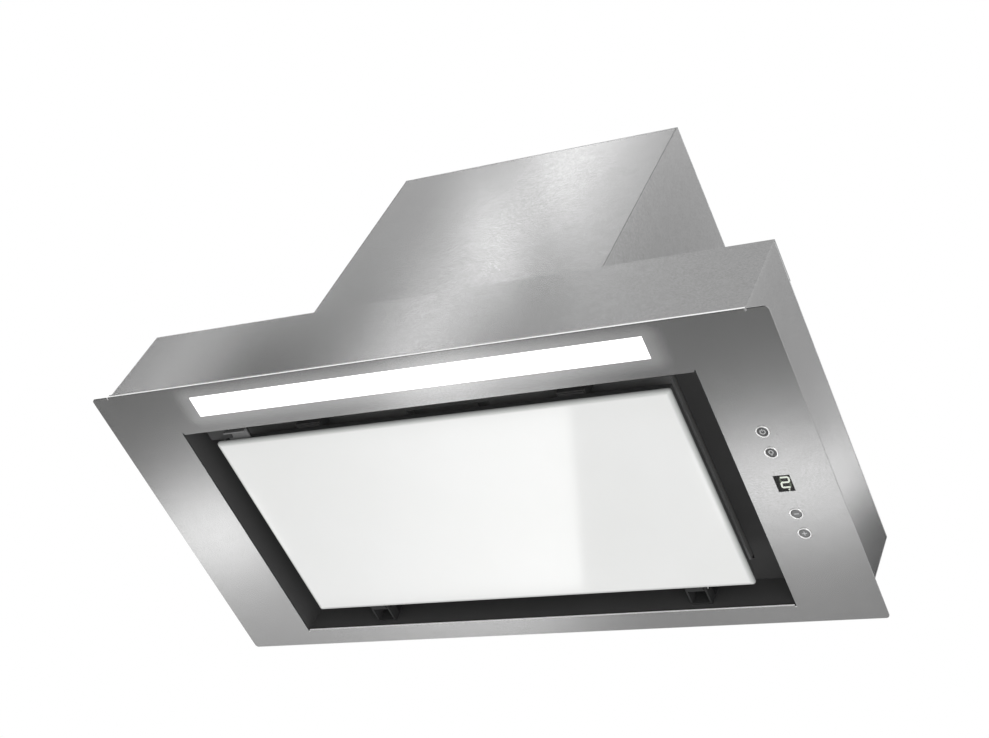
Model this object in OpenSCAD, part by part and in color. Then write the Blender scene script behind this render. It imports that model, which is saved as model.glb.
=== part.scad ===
// Built-in range hood with a hinged glass panel under its grease filter, a light strip,
// four push-buttons and a display in the face plate, and a blower in the upper housing.
// X runs to the right as seen from the front, Y to the back and Z up.
// The origin is the centre of the underside of the face plate.

/* [Face plate] */
// Width of the face plate
plate_w = 600; // [560:1:900]
// Depth of the face plate
plate_d = 290; // [275:1:330]
// Thickness of the face plate
plate_t = 1; // [0.8:0.1:1.5]
// Radius of its corners
plate_corner_r = 3; // [1:0.5:8]
// Steel between the sides of the lower box and the opening
strip_w = 52; // [46:1:60]
// Steel between the back of the lower box and the opening
back_strip_w = 10; // [9:0.5:20]
// Height of the folds along the opening, above the plate
opening_fold_h = 1.4; // [1:0.1:3]
// Height of the front lip, above the plate
lip_h = 3; // [2:0.5:5]
// Width of the relief notches at the ends of the lip and folds
relief_w = 1.4; // [0.8:0.1:2]

/* [Lower box] */
// Height of the lower box above the plate
body_h = 82; // [76:1:95]
// Plate that shows beside the lower box
side_overhang = 17; // [12:1:24]
// Plate that shows behind the lower box
rear_overhang = 7; // [5:0.5:12]
// Thickness of the side, back and deck sheets
sheet_t = 1; // [0.7:0.1:1.2]
// Thickness of the front panel
front_t = 1.2; // [0.8:0.1:1.5]
// How far the front panel laps back over the deck
lap_d = 36; // [25:1:60]
// Width of the side flanges that stand on the plate
side_flange_w = 5.5; // [4:0.5:6]
// Height of the fixing holes in the sides
fixing_z = 22; // [18:1:60]
// Spacing of the fixing holes in the sides
fixing_spacing = 200; // [120:5:240]
// Radius of the fixing holes in the sides
fixing_r = 2.5; // [2:0.25:3]

/* [Upper housing] */
// Width of the upper housing
housing_w = 271; // [260:1:300]
// Height of the upper housing above the deck
housing_h = 223; // [215:1:260]
// Distance of the upper housing behind the front of the plate
housing_setback = 14.5; // [12:0.5:18]
// Distance of the upper housing before the back of the plate
housing_rear_setback = 20.5; // [18:0.5:30]
// Thickness of its sheets
housing_t = 1; // [0.7:0.1:1.2]
// Width of its inner flanges
housing_flange_w = 8; // [7:0.5:10]

/* [Suction frame] */
// Height of the filter shelf above the underside of the plate
shelf_z = 33; // [31:0.5:38]
// Thickness of the frame's sheet
frame_t = 1.2; // [0.8:0.1:1.3]
// Width of the flange that stands on the plate
frame_flange_w = 5; // [4:0.5:5.5]

/* [Glass panel] */
// Thickness of the glass
glass_t = 5; // [4:0.5:5.5]
// Radius of the corners of the glass
glass_corner_r = 4; // [2:0.5:8]
// Slot between the opening and the front of the glass
front_slot = 13; // [12:0.5:14]
// Slots between the opening and the sides of the glass
side_slot = 25.5; // [22:0.5:30]
// Slot between the opening and the back of the glass
back_slot = 22; // [20:0.5:25]
// Depth of the glass surface above the face of the plate
glass_recess = 0.5; // [0.2:0.1:1]
// Height of the tray behind the glass
tray_h = 8; // [7:0.5:9]
// Sheet thickness of the tray
tray_t = 1; // [0.8:0.1:1.2]
// Step from the edge of the glass to the tray
tray_inset = 3.5; // [2:0.5:5]
// Distance of the hinge pins behind the glass
hinge_setback = 8; // [7.5:0.5:9]
// Height of the hinge pins above the glass surface
hinge_rise = 11.5; // [11:0.5:12]
// Radius of the hinge pins
hinge_pin_r = 2; // [1.5:0.25:2]
// Distance from the sides of the glass to the middle of each hinge
hinge_inset = 55.5; // [30:0.5:90]
// Distance from the sides of the glass to the middle of each magnet catch
magnet_inset = 85.5; // [60:0.5:120]
// Width of the pull tab
tab_w = 21; // [15:1:30]
// Distance from the left side of the glass to the middle of the pull tab
tab_inset = 21.5; // [19:0.5:40]

/* [Grease filter] */
// Width of the shelf beside the filter
shelf_side_w = 37; // [34:1:50]
// Width of the shelf before and behind the filter
shelf_end_w = 22; // [20:1:28]
// Height of the filter
filter_h = 12; // [11:0.5:16]
// Travel of the latch
latch_travel = 7.5; // [6.5:0.5:8]

/* [Light strip] */
// Width of the lit diffuser
light_w = 405; // [380:1:420]
// Depth of the lit diffuser
light_d = 19.5; // [17:0.5:20]
// Steel between the front edge and the diffuser
light_margin = 10.6; // [10.2:0.1:14]
// Steel between the diffuser and the opening
light_gap = 15.9; // [14:0.1:24]
// How far the diffuser stands out of the plate
light_proud = 0.4; // [0.2:0.1:1]
// Height of the lamp channel
channel_h = 14; // [11:0.5:18]

/* [Controls] */
// Distance of the display from the front edge of the plate
control_setback = 152; // [130:1:170]
// Width of the display window
window_w = 12.7; // [10:0.1:14]
// Depth of the display window
window_d = 15.2; // [12:0.1:17]
// Distance from the display to the nearer buttons
button_near = 29.1; // [26:0.1:34]
// Distance between neighbouring buttons
button_pitch = 19.3; // [16:0.1:22]
// Outer radius of the button bezels
bezel_r = 5.3; // [5.1:0.1:6]
// Radius of the button caps
cap_r = 3.8; // [3.2:0.1:3.9]
// Travel of the buttons
button_travel = 0.8; // [0.5:0.1:1]

/* [Blower] */
// Radius of the wheel
wheel_r = 75; // [70:1:76]
// Width of the wheel
wheel_w = 100; // [90:1:102]
// Number of blades
blade_count = 36; // [24:1:40]
// Radial depth of the blades
blade_d = 12; // [10:1:14]
// Gap between the wheel and the tongue of the scroll
tongue_gap = 9; // [5:1:11]
// Distance of the tongue behind the axis
tongue_reach = 24; // [20:1:32]
// Depth of the upper housing less twice the end radius of the scroll
scroll_room = 31; // [28:1:40]
// Gap between the wheel and each side of the scroll
wheel_side_gap = 6; // [4:1:8]
// Sheet thickness of the scroll
scroll_t = 1.2; // [0.8:0.1:1.5]
// Air space between the filter and the scroll
plenum_h = 24; // [15:1:30]
// Radius of the motor
motor_r = 38; // [32:1:42]
// Radius of the motor shaft
shaft_r = 4; // [3:0.5:5]

/* [Outlet] */
// Outer radius of the spigot
spigot_r = 74.5; // [74:0.25:76]
// Wall of the spigot
spigot_t = 1.5; // [1.4:0.1:2]
// Height of the spigot
spigot_h = 40; // [35:1:60]
// Height of the flaps above the housing
flap_rise = 12; // [10:0.5:16]
// Radius of the flap pins
flap_pin_r = 1; // [0.8:0.1:1.2]

/* [Terminal box] */
// Width of the terminal box
terminal_w = 84; // [70:1:90]
// Depth of the terminal box
terminal_d = 62; // [50:1:70]
// Height of the terminal box
terminal_h = 38; // [36:1:50]
// Radius of the cable hole in the gland
gland_bore_r = 4; // [3:0.5:5]

/* [Hidden] */
$fn = 64;

// Length by which a cutting shape runs past the face it cuts
overrun = 1;
// Gap between pieces that lie against each other
fit = 0.3;
// Gap round a pin, shaft or cap that turns or slides
running = 0.05;

// Places that several pieces share
front_y = -plate_d / 2;
back_y = plate_d / 2;
face_y = front_y + plate_t + fit;
body_x = plate_w / 2 - side_overhang;
body_y0 = face_y + front_t;
body_y1 = back_y - rear_overhang;
deck_z = plate_t + body_h;
opening_w = 2 * (body_x - strip_w);
opening_y0 = front_y + light_margin + light_d + light_gap;
opening_y1 = body_y1 - sheet_t - back_strip_w;
opening_y = (opening_y0 + opening_y1) / 2;
housing_x = housing_w / 2;
housing_y0 = front_y + housing_setback;
housing_y1 = back_y - housing_rear_setback;
housing_d = housing_y1 - housing_y0;
housing_z = deck_z + housing_h;

// Rivets and screws
rivet_r = 1.6;
rivet_head_r = 3.2;
rivet_head_h = 0.9;
rivet_tail_h = 1.5;
screw_r = 2;
screw_head_r = 3.8;
screw_head_h = 2;
screw_tail_h = 4;
screw_wall_gap = 0.2;
back_flange_w = 12;
rivet_inset = 7;
rivet_levels = 3;

// Suction frame
frame_x = opening_w / 2 + fit;
frame_y0 = opening_y0 - plate_t - fit;
frame_y1 = opening_y1 + plate_t + fit;

// Filter, in its hole in the shelf
filter_w = opening_w - 2 * shelf_side_w;
filter_y0 = opening_y0 + shelf_end_w;
filter_y1 = opening_y1 - shelf_end_w;
filter_gap = 1.2;
filter_drop = 3;
filter_z0 = shelf_z - filter_drop;
filter_z1 = filter_z0 + filter_h;
filter_sheet = 1.2;
filter_lip_w = 9;
hook_z = shelf_z + frame_t + fit;
hook_t = 1.2;
hook_w = 24;
hook_reach = 7;
hook_inset = 74;
hook_x = filter_w / 2 - hook_inset;
cup_w = 76;
cup_wall = 1.5;
cup_roof_t = 1.2;
cup_cover = 1.8;
cup_h = filter_h - filter_sheet - cup_cover;
slider_w = 50;
slider_d = 15;
cup_d = slider_d + latch_travel + 2 * cup_wall + 2 * fit;
cup_y0 = filter_y0 + filter_sheet + fit;
slider_y0 = cup_y0 + cup_wall + fit;
tongue_w = 20;
latch_hold = 5;
grip_w = 40;
grip_t = 2;
grip_h = 3.4;

// Glass panel and its hinges
glass_w = opening_w - 2 * side_slot;
glass_y0 = opening_y0 + front_slot;
glass_y1 = opening_y1 - back_slot;
glass_z1 = glass_recess + glass_t;
tray_z1 = glass_z1 + tray_h;
tray_lip_w = 8;
hinge_x = glass_w / 2 - hinge_inset;
hinge_y = glass_y1 + hinge_setback;
hinge_z = glass_recess + hinge_rise;
knuckle_r = 4;
knuckle_w = 14;
ear_t = 1.5;
ear_gap = 0.5;
ear_r = 4.5;
leaf_t = 1.5;
leaf_gap = 3.5;
tab_x = glass_w / 2 - tab_inset;
tab_reach = 7.5;
tab_t = 1.2;
tab_fold_h = 3.5;
magnet_x = glass_w / 2 - magnet_inset;
magnet_w = 24;
magnet_d = 7;
magnet_bevel = 1;

// Light strip
light_y = front_y + light_margin + light_d / 2;
diffuser_rim = 1.8;
diffuser_rim_t = 1.5;
channel_t = 1.2;
channel_end = 4;
board_t = 1.6;
board_d = 12;
diode_w = 3;
diode_h = 1;
diode_pitch = 15;
driver_w = 34;
driver_d = 120;
driver_h = 24;
driver_edge = 2;
driver_inset = 10;
driver_back = 150;

// Controls
control_w = 29;
control_gap = 1;
control_x = body_x - sheet_t - side_flange_w - control_gap - control_w / 2;
control_y = front_y + control_setback;
control_d = 122;
control_h = 22;
control_t = 1.5;
lug_d = 9;
lug_t = 2;
lug_hole_r = 1.6;
circuit_w = 25;
circuit_d = 116;
circuit_rise = 11.8;
circuit_z = plate_t + circuit_rise;
ledge_w = 1.2;
switch_w = 6;
switch_h = 3.5;
plunger_r = 1.7;
plunger_h = 1;
bezel_face = 0.6;
bezel_wall = 0.8;
bezel_h = 2.6;
cap_recess = 0.4;
flange_h = 1;
module_w = 12.6;
module_d = 18;
module_h = 8;
lens_rim = 1.5;
lens_t = 1.2;
button_places = [-button_near - button_pitch, -button_near, button_near, button_near + button_pitch];

// Blower, its axis runs along X
blower_front_gap = 2.5;
scroll_w = wheel_w + 2 * wheel_side_gap;
scroll_start_r = wheel_r + tongue_gap;
scroll_end_r = (housing_d - scroll_room) / 2;
throat_d = scroll_end_r - tongue_reach;
tongue_a = acos(tongue_reach / scroll_start_r);
function scroll_r(a) =
    scroll_start_r + (scroll_end_r - scroll_start_r) * (a - tongue_a) / (360 - tongue_a);
axis_y = housing_y0 + housing_t + blower_front_gap + scroll_t + scroll_r(180);
axis_z = filter_z1 + plenum_h + scroll_t + scroll_r(270);
throat_y = axis_y + scroll_end_r - throat_d / 2;
top_z = housing_z - housing_t;
throat_flange_w = 11;
scroll_steps = 48;
scroll_x = scroll_w / 2;
hub_r = 10;
hub_l = 18;
disc_t = 1.5;
ring_t = 1.5;
blade_t = 1;
blade_lean = 7;
inlet_inset = 15;
inlet_r = wheel_r - inlet_inset;
inlet_lip_r = 5;
inlet_t = 1.2;
bracket_t = 2;
bracket_hub_r = 30;
arm_w = 12;
foot_l = 10;
arm_count = 3;
motor_x1 = -hub_l / 2;
motor_x0 = -scroll_x - scroll_t - inlet_lip_r - inlet_t - fit;
shell_t = 1.5;
shell_hole_r = 5;
shell_hole_count = 8;
bearing_r = 8;
bearing_l = 6;
stator_t = 12;
stator_l = 26;
air_gap = 0.5;

// Outlet
spigot_flange_w = 11.5;
spigot_flange_r = spigot_r + spigot_flange_w;
spigot_flange_t = 2;
flap_z = housing_z + flap_rise;
flap_t = 1;
flap_gap = 1.5;
flap_offset = 6;
barrel_r = 2.4;
bar_w = 6.4;
bar_h = 8;
ledge_d = 4;
barrel_l = 24;
barrel_end_gap = 11;
barrel_x1 = spigot_r - spigot_t - ledge_d - barrel_end_gap;
barrel_x0 = barrel_x1 - barrel_l;
ledge_t = 2;
pin_seat = 0.9;
outlet_screw_gap = 5;
outlet_screw_r = spigot_r + outlet_screw_gap;
outlet_screw_x = scroll_x + scroll_t + throat_flange_w / 2;
outlet_screw_y = sqrt(outlet_screw_r ^ 2 - outlet_screw_x ^ 2);
throat_flange_y = max(throat_d / 2 + throat_flange_w, outlet_screw_y + throat_flange_w / 2);

// Terminal box
terminal_shift = 7.75;
terminal_back_inset = 12;
terminal_x = -(body_x + housing_x) / 2 - terminal_shift - terminal_w / 2;
terminal_y = body_y1 - terminal_back_inset;
terminal_t = 2;
lid_t = 2;
lid_lip = 3;
gland_r = 8;
gland_nut_r = 10.5;
gland_nut_l = 6;
gland_l = 14;
gland_tail = 6;
capacitor_top_gap = 5;
capacitor_gland_gap = 9.7;
capacitor_r = (terminal_h - terminal_t - lid_lip - capacitor_top_gap) / 2;
capacitor_l = terminal_w - 2 * terminal_t - fit - gland_tail - capacitor_gland_gap;

// A box between its lowest and its highest corner
module block(low, high) {
    translate(low) cube(high - low);
}

// A rectangle with round corners, centred
module rounded_rect(w, d, r) {
    square([w - 2 * r, d], center = true);
    square([w, d - 2 * r], center = true);
    for (sx = [-1, 1], sy = [-1, 1])
        translate([sx * (w / 2 - r), sy * (d / 2 - r)])
            circle(r = r);
}

// The same shape on the right and on the left
module both_sides() {
    children();
    mirror([1, 0, 0]) children();
}

// A cylinder along X, from x0 to x1
module rod_x(x0, x1, r) {
    translate([x0, 0, 0]) rotate([0, 90, 0]) cylinder(h = x1 - x0, r = r);
}

// A blind rivet with its head on the face at z = 0, and the hole for it
module rivet(grip) {
    cylinder(h = rivet_head_h, r = rivet_head_r);
    translate([0, 0, -grip - rivet_tail_h]) cylinder(h = grip + rivet_tail_h, r = rivet_r);
}
module rivet_hole(grip) {
    translate([0, 0, -grip - overrun]) cylinder(h = grip + 2 * overrun, r = rivet_r + running);
}

// A pan head screw with its head on the face at z = 0, and the hole for it
module screw(grip) {
    cylinder(h = screw_head_h, r = screw_head_r);
    translate([0, 0, -grip - screw_tail_h]) cylinder(h = grip + screw_tail_h, r = screw_r);
}
module screw_hole(grip) {
    translate([0, 0, -grip - overrun]) cylinder(h = grip + 2 * overrun, r = screw_r + running);
}

module button_grid() {
    for (place = button_places) translate([control_x, control_y + place, 0]) children();
}

// Brushed steel plate that closes the wall cabinet from below
module base_plate() {
    fold_w = opening_w - 2 * relief_w;
    color("silver") difference() {
        union() {
            linear_extrude(plate_t) rounded_rect(plate_w, plate_d, plate_corner_r);
            block([-body_x, front_y, 0], [body_x, front_y + plate_t, plate_t + lip_h]);
            for (y = [opening_y0 - plate_t, opening_y1])
                block([-fold_w / 2, y, 0], [fold_w / 2, y + plate_t, plate_t + opening_fold_h]);
        }
        block([-opening_w / 2, opening_y0, -overrun], [opening_w / 2, opening_y1, plate_t + overrun]);
        both_sides() {
            block([body_x, front_y - overrun, -overrun],
                  [body_x + relief_w, front_y + plate_t + relief_w, plate_t + overrun]);
            block([fold_w / 2, opening_y0 - plate_t - relief_w / 2, -overrun],
                  [opening_w / 2, opening_y0 + overrun, plate_t + overrun]);
            block([fold_w / 2, opening_y1 - overrun, -overrun],
                  [opening_w / 2, opening_y1 + plate_t + relief_w / 2, plate_t + overrun]);
        }
        block([-light_w / 2, light_y - light_d / 2, -overrun],
              [light_w / 2, light_y + light_d / 2, plate_t + overrun]);
        block([control_x - window_w / 2, control_y - window_d / 2, -overrun],
              [control_x + window_w / 2, control_y + window_d / 2, plate_t + overrun]);
        button_grid()
            translate([0, 0, -overrun])
                cylinder(h = plate_t + 2 * overrun, r = cap_r + bezel_wall + 2 * running);
    }
}

// Front of the lower box, folded back over the deck and cut out round the upper housing
module body_front() {
    color("silver") {
        block([-body_x, face_y, plate_t], [body_x, body_y0, deck_z + front_t]);
        difference() {
            block([-body_x, face_y, deck_z], [body_x, face_y + lap_d, deck_z + front_t]);
            block([-housing_x - fit, housing_y0 - fit, deck_z - overrun],
                  [housing_x + fit, housing_y1, deck_z + front_t + overrun]);
        }
    }
}

// Places of the rivets in the back of a box: the corner flange's middle, at even levels
module back_rivets(half_w, y, z0, z1) {
    both_sides()
        for (i = [1:rivet_levels])
            translate([half_w - rivet_inset, y, z0 + (z1 - z0) * (i - 1 / 2) / rivet_levels])
                rotate([-90, 0, 0]) children();
}

// Right side of the lower box, with flanges for the plate, the deck and the back
module body_side() {
    inner_x = body_x - sheet_t;
    difference() {
        union() {
            block([inner_x, body_y0, plate_t], [body_x, body_y1 - sheet_t, deck_z - sheet_t]);
            block([inner_x - side_flange_w, body_y0, plate_t],
                  [body_x, body_y1 - sheet_t, plate_t + sheet_t]);
            block([inner_x - back_flange_w, body_y0, deck_z - 2 * sheet_t],
                  [body_x, body_y1 - sheet_t, deck_z - sheet_t]);
            block([inner_x - back_flange_w, body_y1 - 2 * sheet_t, plate_t],
                  [body_x, body_y1 - sheet_t, deck_z - sheet_t]);
        }
        for (s = [-1, 1])
            translate([body_x - sheet_t - overrun, s * fixing_spacing / 2, fixing_z])
                rotate([0, 90, 0]) cylinder(h = sheet_t + 2 * overrun, r = fixing_r);
        back_rivets(body_x, body_y1, plate_t, deck_z)
            rivet_hole(2 * sheet_t);
    }
}
module body_side_right() { color("silver") body_side(); }
module body_side_left() { color("silver") mirror([1, 0, 0]) body_side(); }

// Back of the lower box
module body_back() {
    color("silver") difference() {
        block([-body_x, body_y1 - sheet_t, plate_t], [body_x, body_y1, deck_z - sheet_t]);
        back_rivets(body_x, body_y1, plate_t, deck_z)
            rivet_hole(sheet_t);
    }
}

// Places of the screws between the upper housing and the deck
module housing_screw_places() {
    both_sides()
        for (share = [1 / 6, 1 / 2, 5 / 6])
            translate([housing_x - housing_t - screw_wall_gap - screw_head_r,
                       housing_y0 + housing_d * share, deck_z + housing_t])
                children();
}

// Deck of the lower box, open under the upper housing
module body_deck() {
    well_x = housing_x - housing_t - housing_flange_w;
    color("silver") difference() {
        block([-body_x, body_y0, deck_z - sheet_t], [body_x, body_y1, deck_z]);
        block([-well_x, housing_y0 + housing_t + housing_flange_w, deck_z - sheet_t - overrun],
              [well_x, housing_y1 - housing_t - housing_flange_w, deck_z + overrun]);
        housing_screw_places() screw_hole(housing_t + sheet_t);
    }
}

module body_rivets() {
    color("gainsboro")
        back_rivets(body_x, body_y1, plate_t, deck_z)
            rivet(2 * sheet_t);
}

// Front of the upper housing, set between the side panels
module housing_front() {
    inner_x = housing_x - housing_t - fit;
    color("silver")
        block([-inner_x, housing_y0, deck_z], [inner_x, housing_y0 + housing_t, top_z]);
}

// Right side of the upper housing, with flanges behind the front and the back, and on the deck
module housing_side() {
    inner_x = housing_x - housing_t;
    flange_x = inner_x - housing_flange_w;
    difference() {
        union() {
            block([inner_x, housing_y0, deck_z], [housing_x, housing_y1, top_z]);
            block([flange_x, housing_y0 + housing_t, deck_z],
                  [housing_x, housing_y0 + 2 * housing_t, top_z]);
            block([inner_x - back_flange_w, housing_y1 - 2 * housing_t, deck_z],
                  [housing_x, housing_y1 - housing_t, top_z]);
            block([flange_x, housing_y0 + housing_t, deck_z],
                  [housing_x, housing_y1 - housing_t, deck_z + housing_t]);
            block([flange_x, housing_y0 + housing_t, top_z - housing_t],
                  [housing_x, housing_y1 - housing_t, top_z]);
        }
        housing_screw_places() screw_hole(housing_t);
        back_rivets(housing_x, housing_y1, deck_z, housing_z) rivet_hole(2 * housing_t);
    }
}
module housing_side_right() { color("silver") housing_side(); }
module housing_side_left() { color("silver") mirror([1, 0, 0]) housing_side(); }

// Back of the upper housing
module housing_back() {
    inner_x = housing_x - housing_t - fit;
    color("silver") difference() {
        block([-inner_x, housing_y1 - housing_t, deck_z], [inner_x, housing_y1, top_z]);
        back_rivets(housing_x, housing_y1, deck_z, housing_z) rivet_hole(housing_t);
    }
}

// Places of the four screws through the spigot, the top and the scroll's flange
module outlet_screw_places() {
    both_sides()
        for (s = [-1, 1])
            translate([outlet_screw_x, throat_y + s * outlet_screw_y, housing_z]) children();
}

// Top of the upper housing, with the round outlet
module housing_top() {
    color("silver") difference() {
        block([-housing_x, housing_y0, top_z], [housing_x, housing_y1, housing_z]);
        translate([0, throat_y, top_z - overrun])
            cylinder(h = housing_t + 2 * overrun, r = spigot_r - spigot_t);
        outlet_screw_places() screw_hole(housing_t);
    }
}

module housing_rivets() {
    color("gainsboro")
        back_rivets(housing_x, housing_y1, deck_z, housing_z) rivet(2 * housing_t);
}

module housing_screws() {
    color("gainsboro") housing_screw_places() screw(housing_t + sheet_t);
}

// Black coated frame round the opening, with the shelf that carries the filter
module suction_frame() {
    out_x = frame_x + frame_t;
    flange_x = out_x + frame_flange_w;
    hole_x = filter_w / 2 + filter_gap;
    color("#262626") difference() {
        union() {
            block([-out_x, frame_y0 - frame_t, plate_t],
                  [out_x, frame_y1 + frame_t, shelf_z + frame_t]);
            block([-flange_x, frame_y0 - frame_t - frame_flange_w, plate_t],
                  [flange_x, frame_y1 + frame_t + frame_flange_w, plate_t + frame_t]);
        }
        block([-frame_x, frame_y0, 0], [frame_x, frame_y1, shelf_z]);
        block([-hole_x, filter_y0 - filter_gap, 0],
              [hole_x, filter_y1 + filter_gap, shelf_z + frame_t + overrun]);
    }
}

// Aluminium channel over the light strip, closed at its ends
module led_channel() {
    out_x = light_w / 2 + channel_end + channel_t;
    out_y = light_d / 2 + diffuser_rim + running + channel_t;
    color("lightgray") difference() {
        block([-out_x, light_y - out_y, plate_t], [out_x, light_y + out_y, plate_t + channel_h]);
        block([-out_x + channel_t, light_y - out_y + channel_t, 0],
              [out_x - channel_t, light_y + out_y - channel_t, plate_t + channel_h - channel_t]);
    }
}

// Circuit strip with its diodes, under the roof of the channel
module led_board() {
    board_z = plate_t + channel_h - channel_t - board_t;
    count = floor((light_w - diode_w) / diode_pitch);
    color("white") block([-light_w / 2, light_y - board_d / 2, board_z],
                         [light_w / 2, light_y + board_d / 2, board_z + board_t]);
    color("khaki")
        for (i = [0:count])
            translate([(i - count / 2) * diode_pitch, light_y, board_z - diode_h / 2])
                cube([diode_w, diode_w, diode_h], center = true);
}

// Opal diffuser, with a rim that lies on the plate
module led_diffuser() {
    rim_x = light_w / 2 + diffuser_rim;
    color("white") {
        block([-light_w / 2 + running, light_y - light_d / 2 + running, -light_proud],
              [light_w / 2 - running, light_y + light_d / 2 - running, plate_t + diffuser_rim_t]);
        block([-rim_x, light_y - light_d / 2 - diffuser_rim, plate_t],
              [rim_x, light_y + light_d / 2 + diffuser_rim, plate_t + diffuser_rim_t]);
    }
}

// Driver of the light strip, hung under the deck
module led_driver() {
    x0 = -body_x + sheet_t + back_flange_w + driver_inset;
    y0 = body_y1 - driver_back;
    z1 = deck_z - sheet_t;
    color("white") {
        block([x0, y0, z1 - driver_h], [x0 + driver_w, y0 + driver_d, z1]);
        block([x0 - driver_edge, y0 + driver_edge, z1 - driver_edge],
              [x0 + driver_w + driver_edge, y0 + driver_d - driver_edge, z1]);
    }
}

// Plastic box over the controls, with a lug at each end and ledges for the circuit board
module control_housing() {
    half_w = control_w / 2;
    half_d = control_d / 2;
    roof_z = plate_t + control_h - control_t;
    color("#202020") translate([control_x, control_y, 0]) {
        difference() {
            block([-half_w, -half_d, plate_t], [half_w, half_d, plate_t + control_h]);
            block([-half_w + control_t, -half_d + control_t, 0],
                  [half_w - control_t, half_d - control_t, roof_z]);
        }
        for (s = [-1, 1])
            block([-half_w, s * (half_d - control_t / 2) - control_t / 2 - ledge_w, circuit_z + board_t],
                  [half_w, s * (half_d - control_t / 2) + control_t / 2 + ledge_w, roof_z]);
        for (s = [-1, 1]) difference() {
            translate([0, s * (half_d + lug_d / 2), plate_t + lug_t / 2])
                cube([control_w / 2, lug_d, lug_t], center = true);
            translate([0, s * (half_d + lug_d / 2), 0])
                cylinder(h = plate_t + lug_t + overrun, r = lug_hole_r);
        }
    }
}

// Circuit board that carries the switches and the digit
module control_board() {
    color("darkgreen")
        block([control_x - circuit_w / 2, control_y - circuit_d / 2, circuit_z],
              [control_x + circuit_w / 2, control_y + circuit_d / 2, circuit_z + board_t]);
}

// Four push switches under the board
module control_switches() {
    color("#303030") button_grid() {
        block([-switch_w / 2, -switch_w / 2, circuit_z - switch_h],
              [switch_w / 2, switch_w / 2, circuit_z]);
        translate([0, 0, circuit_z - switch_h - plunger_h])
            cylinder(h = plunger_h, r = plunger_r);
    }
}

// One digit module under the board
module display_module() {
    color("#181818")
        block([control_x - module_w / 2, control_y - module_d / 2, circuit_z - module_h],
              [control_x + module_w / 2, control_y + module_d / 2, circuit_z]);
}

// Smoked lens in the window, with a rim behind the plate
module display_lens() {
    color([0.1, 0.12, 0.1, 0.8]) translate([control_x, control_y, 0]) {
        block([-window_w / 2 + running, -window_d / 2 + running, 0],
              [window_w / 2 - running, window_d / 2 - running, plate_t + lens_t]);
        block([-window_w / 2 - lens_rim, -window_d / 2 - lens_rim, plate_t],
              [window_w / 2 + lens_rim, window_d / 2 + lens_rim, plate_t + lens_t]);
    }
}

// Four plated rings that guide the button caps
module button_bezels() {
    color("gainsboro") button_grid() difference() {
        union() {
            translate([0, 0, -bezel_face]) cylinder(h = bezel_face, r = bezel_r);
            cylinder(h = bezel_h, r = cap_r + bezel_wall + running);
        }
        translate([0, 0, -bezel_face - overrun])
            cylinder(h = bezel_face + bezel_h + 2 * overrun, r = cap_r + running);
    }
}

// One button: its cap in the bezel, its flange over the bezel and its stem to the switch
module button(i) {
    stem_z = circuit_z - switch_h - plunger_h - button_travel - running;
    color("dimgray") translate([control_x, control_y + button_places[i], 0]) {
        translate([0, 0, -cap_recess]) cylinder(h = cap_recess + bezel_h + running, r = cap_r);
        translate([0, 0, bezel_h + running]) cylinder(h = flange_h, r = cap_r + bezel_wall);
        translate([0, 0, bezel_h]) cylinder(h = stem_z - bezel_h, r = plunger_r);
    }
}
module button_power() { button(0); }
module button_light() { button(1); }
module button_minus() { button(2); }
module button_plus() { button(3); }

// White toughened glass
module glass_panel() {
    color("white") translate([0, (glass_y0 + glass_y1) / 2, glass_recess])
        linear_extrude(glass_t) rounded_rect(glass_w, glass_y1 - glass_y0, glass_corner_r);
}

// Black tray bonded behind the glass, with walls and a lip all round
module panel_tray() {
    half_w = glass_w / 2 - tray_inset;
    y0 = glass_y0 + tray_inset;
    y1 = glass_y1 - tray_inset;
    color("#262626") difference() {
        block([-half_w, y0, glass_z1], [half_w, y1, tray_z1]);
        block([-half_w + tray_t, y0 + tray_t, glass_z1 + tray_t],
              [half_w - tray_t, y1 - tray_t, tray_z1 - tray_t]);
        block([-half_w + tray_lip_w, y0 + tray_lip_w, glass_z1 + tray_t],
              [half_w - tray_lip_w, y1 - tray_lip_w, tray_z1 + overrun]);
    }
}

// Steel tab in front of the tray, folded down at its end, for opening the panel
module pull_tab() {
    y1 = glass_y0 + tray_inset;
    y0 = glass_y0 - tab_reach;
    z0 = glass_z1 + tray_t;
    color("darkgray") {
        block([-tab_x - tab_w / 2, y0, z0], [-tab_x + tab_w / 2, y1, z0 + tab_t]);
        block([-tab_x - tab_w / 2, y0, z0 - tab_fold_h], [-tab_x + tab_w / 2, y0 + tab_t, z0 + tab_t]);
    }
}

// Two brackets on the back wall of the suction frame, each with two ears
module hinge_brackets() {
    leaf_y = frame_y1 - leaf_t;
    half = knuckle_w / 2 + ear_gap;
    color("#303030") both_sides() translate([hinge_x, 0, 0]) difference() {
        union() {
            block([-half - ear_t, leaf_y, hinge_z - ear_r], [half + ear_t, frame_y1, shelf_z - leaf_gap]);
            for (x = [-half - ear_t, half]) {
                block([x, hinge_y, hinge_z - ear_r], [x + ear_t, leaf_y, hinge_z + ear_r]);
                translate([0, hinge_y, hinge_z]) rod_x(x, x + ear_t, ear_r);
            }
        }
        translate([0, hinge_y, hinge_z])
            rod_x(-half - ear_t - overrun, half + ear_t + overrun, hinge_pin_r + running);
    }
}

module hinge_pins() {
    half = knuckle_w / 2 + ear_gap + ear_t;
    color("gainsboro") both_sides() translate([hinge_x, hinge_y, hinge_z]) {
        rod_x(-half, half, hinge_pin_r);
        rod_x(half, half + ear_t, hinge_pin_r + ear_t / 2);
    }
}

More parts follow.
